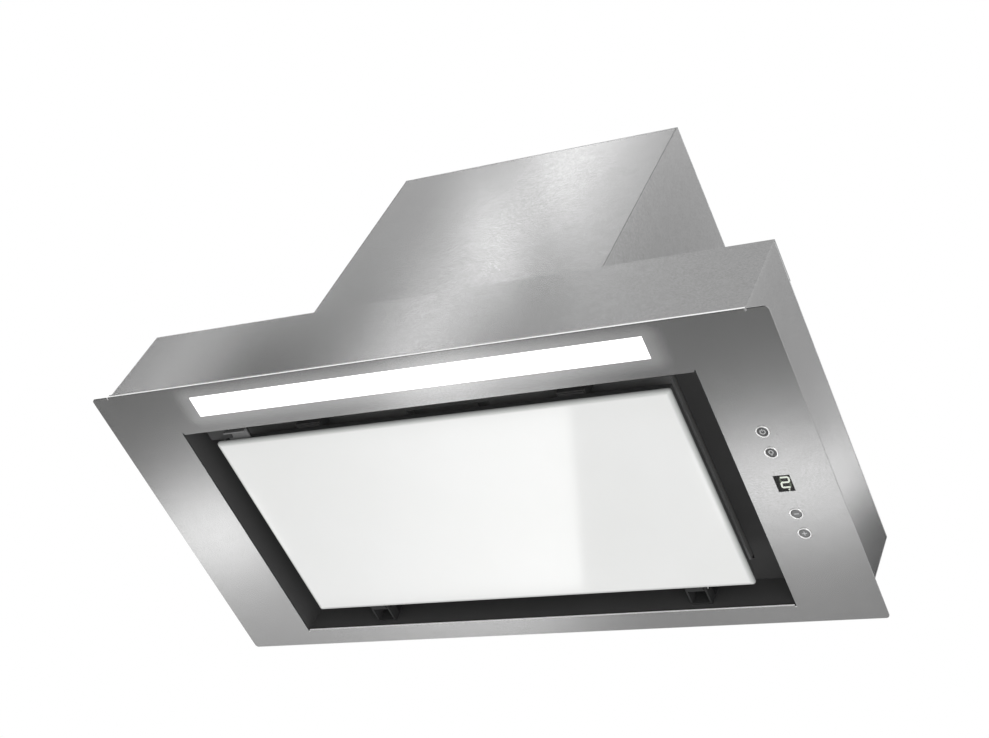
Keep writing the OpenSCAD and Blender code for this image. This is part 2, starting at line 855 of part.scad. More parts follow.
// Two knuckles that turn on the pins, fixed to the back wall of the tray
module hinge_knuckles() {
    y0 = glass_y1 - tray_inset;
    color("#303030") both_sides() translate([hinge_x, 0, 0]) difference() {
        union() {
            translate([0, hinge_y, hinge_z]) rod_x(-knuckle_w / 2, knuckle_w / 2, knuckle_r);
            block([-knuckle_w / 2, y0, glass_z1 + tray_t], [knuckle_w / 2, hinge_y, hinge_z]);
        }
        translate([0, hinge_y, hinge_z])
            rod_x(-knuckle_w / 2 - overrun, knuckle_w / 2 + overrun, hinge_pin_r + running);
    }
}

// Two magnets hung from the shelf, over the front lip of the tray
module catch_magnets() {
    y0 = filter_y0 - filter_gap - magnet_d;
    color("#404040") both_sides() translate([magnet_x, 0, 0]) {
        block([-magnet_w / 2, y0, tray_z1 + fit + magnet_bevel],
              [magnet_w / 2, y0 + magnet_d, shelf_z]);
        block([-magnet_w / 2 + magnet_bevel, y0 + magnet_bevel, tray_z1 + fit],
              [magnet_w / 2 - magnet_bevel, y0 + magnet_d - magnet_bevel, shelf_z]);
    }
}

// Aluminium channel frame of the grease filter, hooked over the shelf at the back
module filter_frame() {
    half_w = filter_w / 2;
    color("lightgray") difference() {
        union() {
            block([-half_w, filter_y0, filter_z0], [half_w, filter_y1, filter_z1]);
            both_sides()
                block([hook_x - hook_w / 2, filter_y1 - filter_sheet, hook_z],
                      [hook_x + hook_w / 2, filter_y1 + hook_reach, hook_z + hook_t]);
        }
        block([-half_w + filter_sheet, filter_y0 + filter_sheet, filter_z0 + filter_sheet],
              [half_w - filter_sheet, filter_y1 - filter_sheet, filter_z1 - filter_sheet]);
        block([-half_w + filter_lip_w, filter_y0 + filter_lip_w, filter_z0 - overrun],
              [half_w - filter_lip_w, filter_y1 - filter_lip_w, filter_z1 + overrun]);
        block([-cup_w / 2 - fit, cup_y0 - fit, filter_z0 - overrun],
              [cup_w / 2 + fit, filter_y0 + filter_lip_w + overrun, filter_z0 + filter_sheet + fit]);
        block([-tongue_w / 2 - fit, filter_y0 - overrun, hook_z - fit],
              [tongue_w / 2 + fit, filter_y0 + filter_sheet + overrun, hook_z + hook_t + fit]);
    }
}

// Mesh core of the filter
module filter_mesh() {
    half_w = filter_w / 2 - filter_sheet;
    color("darkgray") difference() {
        block([-half_w, filter_y0 + filter_sheet, filter_z0 + filter_sheet],
              [half_w, filter_y1 - filter_sheet, filter_z1 - filter_sheet]);
        block([-cup_w / 2 - fit, filter_y0, filter_z0],
              [cup_w / 2 + fit, cup_y0 + cup_d + fit, filter_z0 + cup_h + fit]);
        block([-tongue_w / 2 - fit, filter_y0, filter_z0], [tongue_w / 2 + fit, cup_y0, filter_z1]);
    }
}

// Cup in the underside of the filter that holds the latch
module filter_handle() {
    color("#303030") difference() {
        block([-cup_w / 2, cup_y0, filter_z0], [cup_w / 2, cup_y0 + cup_d, filter_z0 + cup_h]);
        block([-cup_w / 2 + cup_wall, cup_y0 + cup_wall, filter_z0 - overrun],
              [cup_w / 2 - cup_wall, cup_y0 + cup_d - cup_wall, filter_z0 + cup_h - cup_roof_t]);
        block([-tongue_w / 2 - fit, cup_y0 - overrun, hook_z - fit],
              [tongue_w / 2 + fit, cup_y0 + cup_wall + overrun, hook_z + hook_t + fit]);
    }
}

// Sliding latch: a plate in the cup, a tongue over the shelf and a finger grip
module filter_latch() {
    color("dimgray") {
        block([-slider_w / 2, slider_y0, hook_z], [slider_w / 2, slider_y0 + slider_d, hook_z + hook_t]);
        block([-tongue_w / 2, filter_y0 - filter_gap - latch_hold, hook_z],
              [tongue_w / 2, slider_y0 + slider_d, hook_z + hook_t]);
        block([-grip_w / 2, slider_y0 + slider_d - grip_t, hook_z - grip_h],
              [grip_w / 2, slider_y0 + slider_d, hook_z + hook_t]);
    }
}

// Outline of the scroll seen along the axis, in Y and Z from the axis: swollen by t, and open
// at the height of its throat
module scroll_outline(t, top) {
    rise = top - axis_z;
    start_a = acos((tongue_reach - t) / (scroll_start_r + t));
    spiral = [for (i = [0:scroll_steps])
        let (a = start_a + (360 - start_a) * i / scroll_steps)
            [(scroll_r(a) + t) * cos(a), (scroll_r(a) + t) * sin(a)]];
    polygon(concat(spiral, [
        [scroll_end_r + t, rise],
        [tongue_reach - t, rise]
    ]));
}

// Turns a shape drawn in Y and Z so that it is extruded along X, centred on the axis
module along_axis(w) {
    translate([-w / 2, axis_y, axis_z])
        rotate([90, 0, 90])
            linear_extrude(w) children();
}

// Wrapper of the scroll, with the flange of its throat under the housing's top
module scroll_wrapper() {
    throat_x = scroll_x + scroll_t;
    color("gainsboro") difference() {
        union() {
            along_axis(scroll_w) scroll_outline(scroll_t, top_z - scroll_t / 2);
            block([-throat_x - throat_flange_w, throat_y - throat_flange_y, top_z - scroll_t],
                  [throat_x + throat_flange_w, throat_y + throat_flange_y, top_z]);
        }
        along_axis(2 * throat_x) scroll_outline(0, top_z + overrun);
        outlet_screw_places() screw_hole(housing_t + scroll_t);
    }
}

// Right side of the scroll, with its inlet
module scroll_side() {
    difference() {
        translate([scroll_x, axis_y, axis_z]) rotate([90, 0, 90])
            linear_extrude(scroll_t) scroll_outline(scroll_t, top_z - scroll_t);
        translate([0, axis_y, axis_z])
            rod_x(scroll_x - overrun, scroll_x + scroll_t + overrun, inlet_r + inlet_t);
    }
}
module scroll_side_right() { color("gainsboro") scroll_side(); }
module scroll_side_left() { color("gainsboro") mirror([1, 0, 0]) scroll_side(); }

// Two rounded rings that lead the air into the wheel
module inlet_rings() {
    color("#303030") both_sides()
        translate([scroll_x, axis_y, axis_z]) rotate([0, 90, 0]) {
            difference() {
                cylinder(h = scroll_t + inlet_lip_r, r = inlet_r + inlet_t);
                translate([0, 0, -overrun])
                    cylinder(h = scroll_t + inlet_lip_r + 2 * overrun, r = inlet_r);
            }
            translate([0, 0, scroll_t]) difference() {
                cylinder(h = inlet_t, r = inlet_r + inlet_lip_r + inlet_t);
                translate([0, 0, -overrun]) cylinder(h = inlet_t + 2 * overrun, r = inlet_r);
            }
        }
}

// One blade of the wheel, seen along the axis
module blade() {
    in_r = wheel_r - blade_d;
    mid_r = wheel_r - blade_d / 2;
    polygon([
        [in_r, 0],
        [mid_r, blade_lean / 4],
        [wheel_r - ring_t / 2, blade_lean],
        [wheel_r - ring_t / 2, blade_lean + blade_t],
        [mid_r, blade_lean / 4 + blade_t],
        [in_r, blade_t]
    ]);
}

// Double inlet wheel: a middle disc, a hub, forward curved blades and a ring at each end
module blower_wheel() {
    in_r = wheel_r - blade_d;
    color("darkgray") translate([0, axis_y, axis_z]) difference() {
        union() {
            translate([-wheel_w / 2, 0, 0]) rotate([90, 0, 90]) linear_extrude(wheel_w)
                for (i = [0:blade_count - 1]) rotate(360 * i / blade_count) blade();
            rod_x(-disc_t / 2, disc_t / 2, wheel_r);
            rod_x(-hub_l / 2 + fit, hub_l / 2, hub_r);
            for (s = [-1, 1]) difference() {
                rod_x(s * wheel_w / 2 - ring_t, s * wheel_w / 2 + ring_t, wheel_r);
                rod_x(s * wheel_w / 2 - ring_t - overrun, s * wheel_w / 2 + ring_t + overrun,
                      wheel_r - ring_t);
            }
        }
        rod_x(-hub_l, hub_l, shaft_r + running);
    }
}

// Shaft from the rear bearing to the end of the hub
module motor_shaft() {
    color("silver") translate([0, axis_y, axis_z]) rod_x(motor_x0 + shell_t, hub_l / 2, shaft_r);
}

// Closed can of the motor, vented at its ends
module motor_shell() {
    color("lightgray") translate([0, axis_y, axis_z]) difference() {
        rod_x(motor_x0, motor_x1, motor_r);
        rod_x(motor_x0 + shell_t, motor_x1 - shell_t, motor_r - shell_t);
        rod_x(motor_x1 - 2 * shell_t, motor_x1 + overrun, shaft_r + running);
        for (i = [0:shell_hole_count - 1])
            rotate([360 * i / shell_hole_count, 0, 0])
                translate([0, (bracket_hub_r + bearing_r) / 2, 0])
                    rod_x(motor_x1 - 2 * shell_t, motor_x1 + overrun, shell_hole_r);
    }
}

// Stator ring inside the can
module motor_stator() {
    mid = (motor_x0 + motor_x1) / 2;
    color("peru") translate([mid, axis_y, axis_z]) difference() {
        rod_x(-stator_l / 2, stator_l / 2, motor_r - shell_t - running);
        rod_x(-stator_l, stator_l, motor_r - shell_t - stator_t);
    }
}

// Rotor on the shaft
module motor_rotor() {
    mid = (motor_x0 + motor_x1) / 2;
    color("gray") translate([mid, axis_y, axis_z]) difference() {
        rod_x(-stator_l / 2, stator_l / 2, motor_r - shell_t - stator_t - air_gap);
        rod_x(-stator_l, stator_l, shaft_r + running);
    }
}

// Two sleeve bearings inside the ends of the can
module motor_bearings() {
    color("goldenrod") translate([0, axis_y, axis_z])
        for (x = [motor_x0 + shell_t, motor_x1 - shell_t - bearing_l]) difference() {
            rod_x(x, x + bearing_l, bearing_r);
            rod_x(x - overrun, x + bearing_l + overrun, shaft_r + running);
        }
}

// Star bracket that holds the motor in the left inlet
module motor_bracket() {
    arm_l = inlet_r + inlet_lip_r + inlet_t + fit + foot_l;
    side_x = -scroll_x - scroll_t;
    color("gainsboro") translate([0, axis_y, axis_z]) {
        rod_x(motor_x0 - bracket_t, motor_x0, bracket_hub_r);
        for (i = [0:arm_count - 1]) rotate([360 * (i + 1 / 2) / arm_count, 0, 0]) {
            block([motor_x0 - bracket_t, -arm_w / 2, 0], [motor_x0, arm_w / 2, arm_l]);
            block([motor_x0 - bracket_t, -arm_w / 2, arm_l - foot_l], [side_x, arm_w / 2, arm_l]);
        }
    }
}

// Round outlet with the ledge that stops the flaps and the bar between them
module outlet_spigot() {
    in_r = spigot_r - spigot_t;
    ledge_z = flap_z - flap_t / 2 - fit;
    color("#303030") translate([0, throat_y, 0]) difference() {
        union() {
            translate([0, 0, housing_z]) cylinder(h = spigot_flange_t, r = spigot_flange_r);
            translate([0, 0, housing_z]) cylinder(h = spigot_h, r = spigot_r);
        }
        difference() {
            translate([0, 0, housing_z - overrun]) cylinder(h = spigot_h + 2 * overrun, r = in_r);
            block([-spigot_r, -bar_w / 2, flap_z - bar_h / 2], [spigot_r, bar_w / 2, flap_z + bar_h / 2]);
            difference() {
                translate([0, 0, ledge_z - ledge_t]) cylinder(h = ledge_t, r = spigot_r);
                translate([0, 0, ledge_z - ledge_t - overrun])
                    cylinder(h = ledge_t + 2 * overrun, r = in_r - ledge_d);
            }
        }
        translate([0, -throat_y, spigot_flange_t]) outlet_screw_places() screw_hole(spigot_flange_t);
        for (s = [-1, 1]) translate([0, s * flap_offset, flap_z])
            rod_x(-in_r - pin_seat, in_r + pin_seat, flap_pin_r + running);
    }
}

module outlet_screws() {
    color("gainsboro") translate([0, 0, spigot_flange_t])
        outlet_screw_places() screw(spigot_flange_t + housing_t + scroll_t);
}

// Pins of the two flaps, in the wall of the spigot
module flap_pins() {
    in_r = spigot_r - spigot_t;
    color("silver") for (s = [-1, 1]) translate([0, throat_y + s * flap_offset, flap_z])
        rod_x(-in_r - pin_seat / 2, in_r + pin_seat / 2, flap_pin_r);
}

// Rear flap: a half disc with two barrels on its pin
module flap() {
    flap_r = spigot_r - spigot_t - flap_gap;
    translate([0, 0, flap_z]) difference() {
        union() {
            difference() {
                translate([0, 0, -flap_t / 2]) cylinder(h = flap_t, r = flap_r);
                block([-spigot_r, -spigot_r, -flap_t], [spigot_r, flap_offset + barrel_r / 2, flap_t]);
            }
            both_sides() translate([0, flap_offset, 0]) rod_x(barrel_x0, barrel_x1, barrel_r);
        }
        translate([0, flap_offset, 0]) rod_x(-spigot_r, spigot_r, flap_pin_r + running);
    }
}
module flap_rear() { color("dimgray") translate([0, throat_y, 0]) flap(); }
module flap_front() { color("dimgray") translate([0, throat_y, 0]) mirror([0, 1, 0]) flap(); }

// Terminal box on the deck, behind the left of the upper housing
module terminal_box() {
    wall = terminal_t;
    color("#303030") difference() {
        block([terminal_x, terminal_y - terminal_d, deck_z],
              [terminal_x + terminal_w, terminal_y, deck_z + terminal_h]);
        block([terminal_x + wall, terminal_y - terminal_d + wall, deck_z + wall],
              [terminal_x + terminal_w - wall, terminal_y - wall, deck_z + terminal_h + overrun]);
        translate([0, terminal_y - terminal_d / 2, deck_z + terminal_h / 2])
            rod_x(terminal_x - overrun, terminal_x + wall + overrun, gland_r + running);
    }
}

module terminal_lid() {
    z0 = deck_z + terminal_h;
    inset = terminal_t + fit;
    color("#383838") {
        block([terminal_x, terminal_y - terminal_d, z0], [terminal_x + terminal_w, terminal_y, z0 + lid_t]);
        block([terminal_x + inset, terminal_y - terminal_d + inset, z0 - lid_lip],
              [terminal_x + terminal_w - inset, terminal_y - inset, z0]);
    }
}

// Motor capacitor, on the floor of the terminal box
module capacitor() {
    color("whitesmoke")
        translate([0, terminal_y - terminal_t - fit - capacitor_r, deck_z + terminal_t + capacitor_r])
            rod_x(terminal_x + terminal_w - terminal_t - fit - capacitor_l,
                  terminal_x + terminal_w - terminal_t - fit, capacitor_r);
}

// Gland for the supply cable in the left wall of the terminal box
module cable_gland() {
    color("#202020") translate([terminal_x, terminal_y - terminal_d / 2, deck_z + terminal_h / 2])
        difference() {
            union() {
                rod_x(-gland_nut_l, 0, gland_nut_r);
                rod_x(-gland_l, terminal_t + gland_tail, gland_r);
                rod_x(terminal_t, terminal_t + gland_tail / 2, gland_nut_r);
            }
            rod_x(-gland_l - overrun, terminal_t + gland_tail + overrun, gland_bore_r);
        }
}

base_plate();
body_front();
body_side_left();
body_side_right();
body_back();
body_deck();
body_rivets();
housing_front();
housing_side_left();
housing_side_right();
housing_back();
housing_top();
housing_rivets();
housing_screws();
suction_frame();
led_channel();
led_board();
led_diffuser();
led_driver();
control_housing();
control_board();
control_switches();
display_module();
display_lens();
button_bezels();
button_power();
button_light();
button_minus();
button_plus();
glass_panel();
panel_tray();
pull_tab();
hinge_brackets();
hinge_pins();
hinge_knuckles();
catch_magnets();
filter_frame();
filter_mesh();
filter_handle();
filter_latch();
scroll_wrapper();
scroll_side_left();
scroll_side_right();
inlet_rings();
blower_wheel();
motor_shaft();
motor_shell();
motor_stator();
motor_rotor();
motor_bearings();
motor_bracket();
outlet_spigot();
outlet_screws();
flap_pins();
flap_front();
flap_rear();
terminal_box();
terminal_lid();
capacitor();
cable_gland();
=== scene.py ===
import math

import bmesh
import bpy
from mathutils import Matrix, Vector

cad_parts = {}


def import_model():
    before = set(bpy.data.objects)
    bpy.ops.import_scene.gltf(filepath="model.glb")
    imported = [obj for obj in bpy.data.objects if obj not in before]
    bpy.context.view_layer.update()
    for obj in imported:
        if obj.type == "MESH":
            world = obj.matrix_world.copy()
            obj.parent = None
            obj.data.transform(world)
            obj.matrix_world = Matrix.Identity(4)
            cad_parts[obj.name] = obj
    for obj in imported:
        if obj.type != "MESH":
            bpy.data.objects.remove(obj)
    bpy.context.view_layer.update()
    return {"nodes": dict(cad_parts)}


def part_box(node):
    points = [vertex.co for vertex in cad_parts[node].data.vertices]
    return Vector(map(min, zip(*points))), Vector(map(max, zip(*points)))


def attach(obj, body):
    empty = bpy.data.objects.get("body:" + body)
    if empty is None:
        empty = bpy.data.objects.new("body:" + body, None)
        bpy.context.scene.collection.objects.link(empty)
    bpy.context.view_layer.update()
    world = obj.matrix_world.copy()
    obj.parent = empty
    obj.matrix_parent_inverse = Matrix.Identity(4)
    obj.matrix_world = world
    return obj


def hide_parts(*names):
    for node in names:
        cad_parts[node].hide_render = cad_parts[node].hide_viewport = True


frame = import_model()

# The camera
# It looks up from below the hood's front right corner, as someone beside the hob would.
# The focal length and the middle of the lens are in pixels of a picture of 989 by 738.
mm = 0.001
picture_w = 989
picture_h = 738
focal_px = 1780.7
lens_middle_x = 555
lens_middle_y = 455
film_w = 36
camera_at = Vector((742.1, -748.0, -916.3))
camera_turns = (136.809, -18.819, 23.536)
camera_data = bpy.data.cameras.new("camera")
camera_data.sensor_width = film_w
camera_data.lens = focal_px / picture_w * film_w
camera_data.shift_x = (picture_w / 2 - lens_middle_x) / picture_w
camera_data.shift_y = (lens_middle_y - picture_h / 2) / picture_w
camera = bpy.data.objects.new("camera", camera_data)
camera.location = camera_at * mm
camera.rotation_euler = [math.radians(turn) for turn in camera_turns]
bpy.context.scene.collection.objects.link(camera)
bpy.context.scene.camera = camera
bpy.context.scene.view_settings.view_transform = "Standard"

# Light and backdrop
# A pale floor at standing height below the hood, a plain white room, and the soft lamps and grey cards
# that a photographer sets round brushed steel. Lamps and cards stay out of the camera's sight.
room_level = 1.0
floor_drop = 1500
floor_w = 16000


def node(tree, kind, inputs=(), **settings):
    """Adds a shader node, sets it up, and links or fills its sockets."""
    made = tree.nodes.new("ShaderNode" + kind)
    for key, value in settings.items():
        setattr(made, key, value)
    for socket, value in dict(inputs).items():
        if isinstance(value, bpy.types.NodeSocket):
            tree.links.new(value, made.inputs[socket])
        else:
            made.inputs[socket].default_value = value
    return made


def seen_directly(tree):
    """Gives 1 for what the camera, a gloss or a clear part sees, and 0 for light on the object."""
    path = node(tree, "LightPath")
    first = node(tree, "Math", {0: path.outputs["Is Camera Ray"], 1: path.outputs["Is Glossy Ray"]},
                 operation="MAXIMUM")
    both = node(tree, "Math", {0: first.outputs[0], 1: path.outputs["Is Transmission Ray"]},
                operation="MAXIMUM")
    return both.outputs[0]


world = bpy.data.worlds.new("room")
world.use_nodes = True
bpy.context.scene.world = world
room = world.node_tree
room_strength = node(room, "MapRange", {"Value": seen_directly(room), "To Min": room_level, "To Max": 1})
room.nodes["Background"].inputs["Color"].default_value = (1, 1, 1, 1)
room.links.new(room_strength.outputs[0], room.nodes["Background"].inputs["Strength"])


def stage_plane(name, at, towards, width, height, material):
    """Sets up a flat sheet that isn't part of the hood, facing a point; sizes are in mm."""
    shape = bmesh.new()
    bmesh.ops.create_grid(shape, x_segments=1, y_segments=1, size=0.5)
    bmesh.ops.scale(shape, verts=shape.verts, vec=(width * mm, height * mm, 1))
    turn = (Vector(towards) - Vector(at)).to_track_quat("Z", "Y").to_matrix().to_4x4()
    bmesh.ops.transform(shape, verts=shape.verts, matrix=Matrix.Translation(Vector(at) * mm) @ turn)
    mesh = bpy.data.meshes.new(name)
    shape.to_mesh(mesh)
    shape.free()
    mesh.materials.append(material)
    sheet = bpy.data.objects.new(name, mesh)
    bpy.context.scene.collection.objects.link(sheet)
    return sheet


floor_paint = bpy.data.materials.new("floor_paint")
floor_paint.use_nodes = True
floor_paint.node_tree.nodes["Principled BSDF"].inputs["Base Color"].default_value = (0.8, 0.8, 0.79, 1)
floor_paint.node_tree.nodes["Principled BSDF"].inputs["Roughness"].default_value = 0.9
stage_plane("floor", (0, 0, -floor_drop), (0, 0, 0), floor_w, floor_w, floor_paint)


def grey_card(name, at, towards, width, height, tone):
    """Hangs an evenly lit card that the steel mirrors."""
    paint = bpy.data.materials.new(name + "_tone")
    paint.use_nodes = True
    tree = paint.node_tree
    tree.nodes.remove(tree.nodes["Principled BSDF"])
    glow = node(tree, "Emission", {"Color": (1, 1, 1, 1), "Strength": tone})
    tree.links.new(glow.outputs[0], tree.nodes["Material Output"].inputs["Surface"])
    card = stage_plane(name, at, towards, width, height, paint)
    card.visible_camera = False


def softbox(name, at, towards, width, height, level):
    """Adds a rectangular lamp; level is how bright its face looks in a mirror."""
    light = bpy.data.lights.new(name, "AREA")
    light.shape = "RECTANGLE"
    light.size = width * mm
    light.size_y = height * mm
    light.energy = level * math.pi * light.size * light.size_y
    lamp = bpy.data.objects.new(name, light)
    lamp.location = Vector(at) * mm
    lamp.rotation_euler = (Vector(towards) - Vector(at)).to_track_quat("-Z", "Y").to_euler()
    lamp.visible_camera = False
    bpy.context.scene.collection.objects.link(lamp)


def below(across, back, drop):
    """A place below the hood, and the point of the plate's level right above it."""
    return (across, back, drop), (across, back, 0)


far_drop = -1440
grey_card("card_front_strip", *below(-1160, 790, far_drop), width=2000, height=420, tone=0.15)
grey_card("card_middle", *below(-1160, 1190, far_drop), width=2000, height=380, tone=0.5)
grey_card("card_back_rim", *below(-1160, 1600, far_drop), width=2300, height=340, tone=0.5)
near_drop = -450
softbox("lamp_left_rim", *below(-760, 372, near_drop), width=190, height=110, level=2.4)
softbox("lamp_right_rim", *below(30, 372, near_drop), width=190, height=110, level=2.3)
softbox("lamp_front_strip", *below(-325, 190, near_drop), width=120, height=70, level=1.6)


def before(across, up, wall):
    """A place on a wall before the hood, and the point of the hood's middle plane straight behind it."""
    return (across, wall, up), (across, 0, up)


front_wall = -750
softbox("lamp_front_box", *before(-712, 715, front_wall), width=95, height=800, level=1.9)
softbox("lamp_front_housing", *before(-672, 1620, front_wall), width=130, height=580, level=2.85)
softbox("lamp_front_seam", *before(-716, 1250, front_wall), width=105, height=200, level=3.5)
softbox("lamp_front_left", *before(-1186, 950, front_wall), width=50, height=1000, level=4.2)
card_wall = front_wall - 20
grey_card("card_front_left", *before(-980, 575, card_wall), width=380, height=1150, tone=0.02)
grey_card("card_housing_left", *before(-920, 1650, card_wall), width=330, height=900, tone=0.5)
grey_card("card_front_corner", *before(-1375, 950, card_wall), width=280, height=1300, tone=0.02)
grey_card("card_front_gap", *before(-505, 600, card_wall), width=190, height=1100, tone=0.12)
right_card_wall = card_wall + 5
grey_card("card_front_right", *before(-170, 1100, right_card_wall), width=680, height=1900, tone=0.8)


def beside(back, up, wall):
    """A place on a wall right of the hood, and the point of the hood's middle plane straight across."""
    return (wall, back, up), (0, back, up)


side_wall = 950
softbox("lamp_side_low", *beside(1118, 1240, side_wall), width=100, height=420, level=1.9)
softbox("lamp_side_high", *beside(1265, 1660, side_wall), width=110, height=420, level=1.95)
side_card_wall = side_wall + 20
grey_card("card_side_back", *beside(1580, 1430, side_card_wall), width=690, height=2000, tone=0.02)
grey_card("card_side_front", *beside(890, 1430, side_card_wall), width=340, height=1300, tone=0.62)
plate_middle = (0, 0, 0)
grey_card("card_below_lip", (-780, -1250, -850), plate_middle, width=1000, height=700, tone=0.08)
softbox("lamp_fill_below", (1100, -500, -1350), plate_middle, width=1400, height=1400, level=1.8)

# The card that the glass mirrors grows brighter towards its right edge, which is cut at a slant.
glass_card_drop = -1420
glass_card_lean = 0.355
glass_card_edge = -837
glass_card_near = 955
glass_card_middle = 1180
glass_card_w = 1000
glass_card_h = 460
glass_card_x = glass_card_edge - glass_card_w / 2
glow_rise_w = 750
glow_low = 1.2
glow_high = 3.5
glow_card = bpy.data.materials.new("card_glass_tone")
glow_card.use_nodes = True
glow_tree = glow_card.node_tree
glow_tree.nodes.remove(glow_tree.nodes["Principled BSDF"])
glow_place = node(glow_tree, "TexCoord")
glow_axes = node(glow_tree, "SeparateXYZ", {0: glow_place.outputs["Object"]})
glow_skew = node(glow_tree, "Math", {0: glow_axes.outputs["Y"], 1: glass_card_lean,
                                     2: glow_axes.outputs["X"]}, operation="MULTIPLY_ADD")
glow_edge = (glass_card_edge + glass_card_near * glass_card_lean) * mm
glow_rise = node(glow_tree, "MapRange", {"Value": glow_skew.outputs[0],
                                         "From Min": glow_edge - glow_rise_w * mm, "From Max": glow_edge,
                                         "To Min": glow_low, "To Max": glow_high},
                 interpolation_type="SMOOTHSTEP")
glow = node(glow_tree, "Emission", {"Color": (1, 1, 1, 1), "Strength": glow_rise.outputs[0]})
glow_tree.links.new(glow.outputs[0], glow_tree.nodes["Material Output"].inputs["Surface"])
glass_card = stage_plane("card_glass", *below(glass_card_x, glass_card_middle, glass_card_drop),
                         glass_card_w, glass_card_h, glow_card)
for vert in glass_card.data.vertices:
    vert.co.x -= (vert.co.y - glass_card_near * mm) * glass_card_lean
glass_card.visible_camera = False

# The face plate
# One sheet of 1 mm stainless steel, brushed along its width, with a short lip folded up at the front.
# The opening's edges are folded up too, and every cut edge is broken so that it shows a fine bright line;
# along the lip and the back fold that line is a painted highlight beside a painted shade.
weld_gap = 0.002
flat_turn = math.radians(0.6)
edge_turn = math.radians(25)
steel_tone = 0.38


def softened(part, radius, shortest=0.0):
    """Copies a CAD node, joins its triangles into whole faces and rounds its edges; sizes are in mm."""
    shape = bmesh.new()
    shape.from_mesh(frame["nodes"][part].data)
    bmesh.ops.remove_doubles(shape, verts=shape.verts, dist=weld_gap * mm)
    bmesh.ops.dissolve_limit(shape, angle_limit=flat_turn, verts=shape.verts, edges=shape.edges)
    sharp = [edge for edge in shape.edges if edge.is_manifold
             and edge.calc_face_angle(0) > edge_turn and edge.calc_length() > shortest * mm]
    bmesh.ops.bevel(shape, geom=sharp, offset=radius * mm, offset_type="OFFSET", segments=2,
                    profile=0.5, affect="EDGES", material=-1, clamp_overlap=True, loop_slide=True)
    return shape


def piece(name, shape, body, finish, stands_for=(), crease=50):
    """Makes a piece of a bmesh, gives it its finish and its body, and hides the CAD nodes it stands for."""
    for face in shape.faces:
        face.smooth = True
    for edge in shape.edges:
        edge.smooth = edge.is_manifold and edge.calc_face_angle(0) < math.radians(crease)
    mesh = bpy.data.meshes.new(name)
    shape.to_mesh(mesh)
    shape.free()
    mesh.materials.append(finish)
    made = bpy.data.objects.new(name, mesh)
    bpy.context.scene.collection.objects.link(made)
    even = made.modifiers.new("even_shading", "WEIGHTED_NORMAL")
    even.keep_sharp = True
    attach(made, body)
    if stands_for:
        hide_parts(*stands_for)
    return made


def two_tone(tree, share, dark, light):
    """Mixes two colours by a pattern."""
    mixed = node(tree, "Mix", {0: share, 6: (*dark, 1), 7: (*light, 1)}, data_type="RGBA")
    return mixed.outputs[2]


def noise(tree, size, detail=3.0):
    """A noise whose features have the given size in mm along x, y and z, spread over 0 to 1."""
    place = node(tree, "TexCoord")
    stretch = node(tree, "Mapping", {"Vector": place.outputs["Object"],
                                     "Scale": [1 / (length * mm) for length in size]})
    cloud = node(tree, "TexNoise", {"Vector": stretch.outputs[0], "Scale": 1, "Detail": detail})
    spread = node(tree, "MapRange", {"Value": cloud.outputs[0], "From Min": 0.3, "From Max": 0.7})
    return spread.outputs[0]


socket_names = {"ior": "IOR", "transmission": "Transmission Weight", "emission": "Emission Strength",
                "specular": "Specular IOR Level"}


def new_finish(name, **sockets):
    """Starts a material and sets the numbers that are the same all over it."""
    finish = bpy.data.materials.new(name)
    finish.use_nodes = True
    shader = finish.node_tree.nodes["Principled BSDF"]
    for key, value in sockets.items():
        shader.inputs[socket_names.get(key, key.capitalize())].default_value = value
    return finish, finish.node_tree, shader


streak_long = 1.8
streak_wide = 1.0
patch_long = 14
patch_wide = 9
patch_share = 0.2
belt_dark_shares = (0.89, 0.89, 0.885)
belt_light_shares = (1.11, 1.11, 1.115)
gloss_spread = 0.01


def brushed_steel(name, tone, grain, across, rough=0.19, stretch=0.6):
    """Steel brushed along one axis: the belt's marks in tone and gloss, and drawn-out highlights."""
    finish, tree, shader = new_finish(name, metallic=1.0, anisotropic=stretch)
    streaks = noise(tree, [streak_long if along else streak_wide for along in grain])
    patches = noise(tree, [patch_long if along else patch_wide for along in grain])
    mottle = node(tree, "Mix", {0: patch_share, 2: streaks, 3: patches})
    dark = [tone * share for share in belt_dark_shares]
    light = [tone * share for share in belt_light_shares]
    tree.links.new(two_tone(tree, mottle.outputs[0], dark, light), shader.inputs["Base Color"])
    gloss = node(tree, "MapRange", {"Value": streaks, "To Min": rough + gloss_spread,
                                    "To Max": rough - gloss_spread})
    tree.links.new(gloss.outputs[0], shader.inputs["Roughness"])
    turn = node(tree, "CombineXYZ", {0: across[0], 1: across[1], 2: across[2]})
    tree.links.new(turn.outputs[0], shader.inputs["Tangent"])
    return finish


plate_steel = brushed_steel("plate_steel_brushed", steel_tone, (1, 0, 0), (0, 1, 0), rough=0.22,
                            stretch=0.3)


def coated_finish(name, tone, rough=0.5, peel=0.9, depth=0.05, specular=0.5):
    """Paint or moulded plastic: a fine grain in relief, tone and gloss."""
    finish, tree, shader = new_finish(name, specular=specular)
    grain = noise(tree, (peel, peel, peel))
    cloud = noise(tree, (40, 40, 40))
    dark = [value * 0.85 for value in tone]
    light = [min(1, value * 1.12) for value in tone]
    both = node(tree, "Mix", {0: 0.4, 2: grain, 3: cloud})
    tree.links.new(two_tone(tree, both.outputs[0], dark, light), shader.inputs["Base Color"])
    gloss = node(tree, "MapRange", {"Value": grain, "To Min": rough - 0.06, "To Max": rough + 0.08})
    tree.links.new(gloss.outputs[0], shader.inputs["Roughness"])
    relief = node(tree, "Bump", {"Height": grain, "Strength": 0.4, "Distance": depth * mm})
    tree.links.new(relief.outputs[0], shader.inputs["Normal"])
    return finish


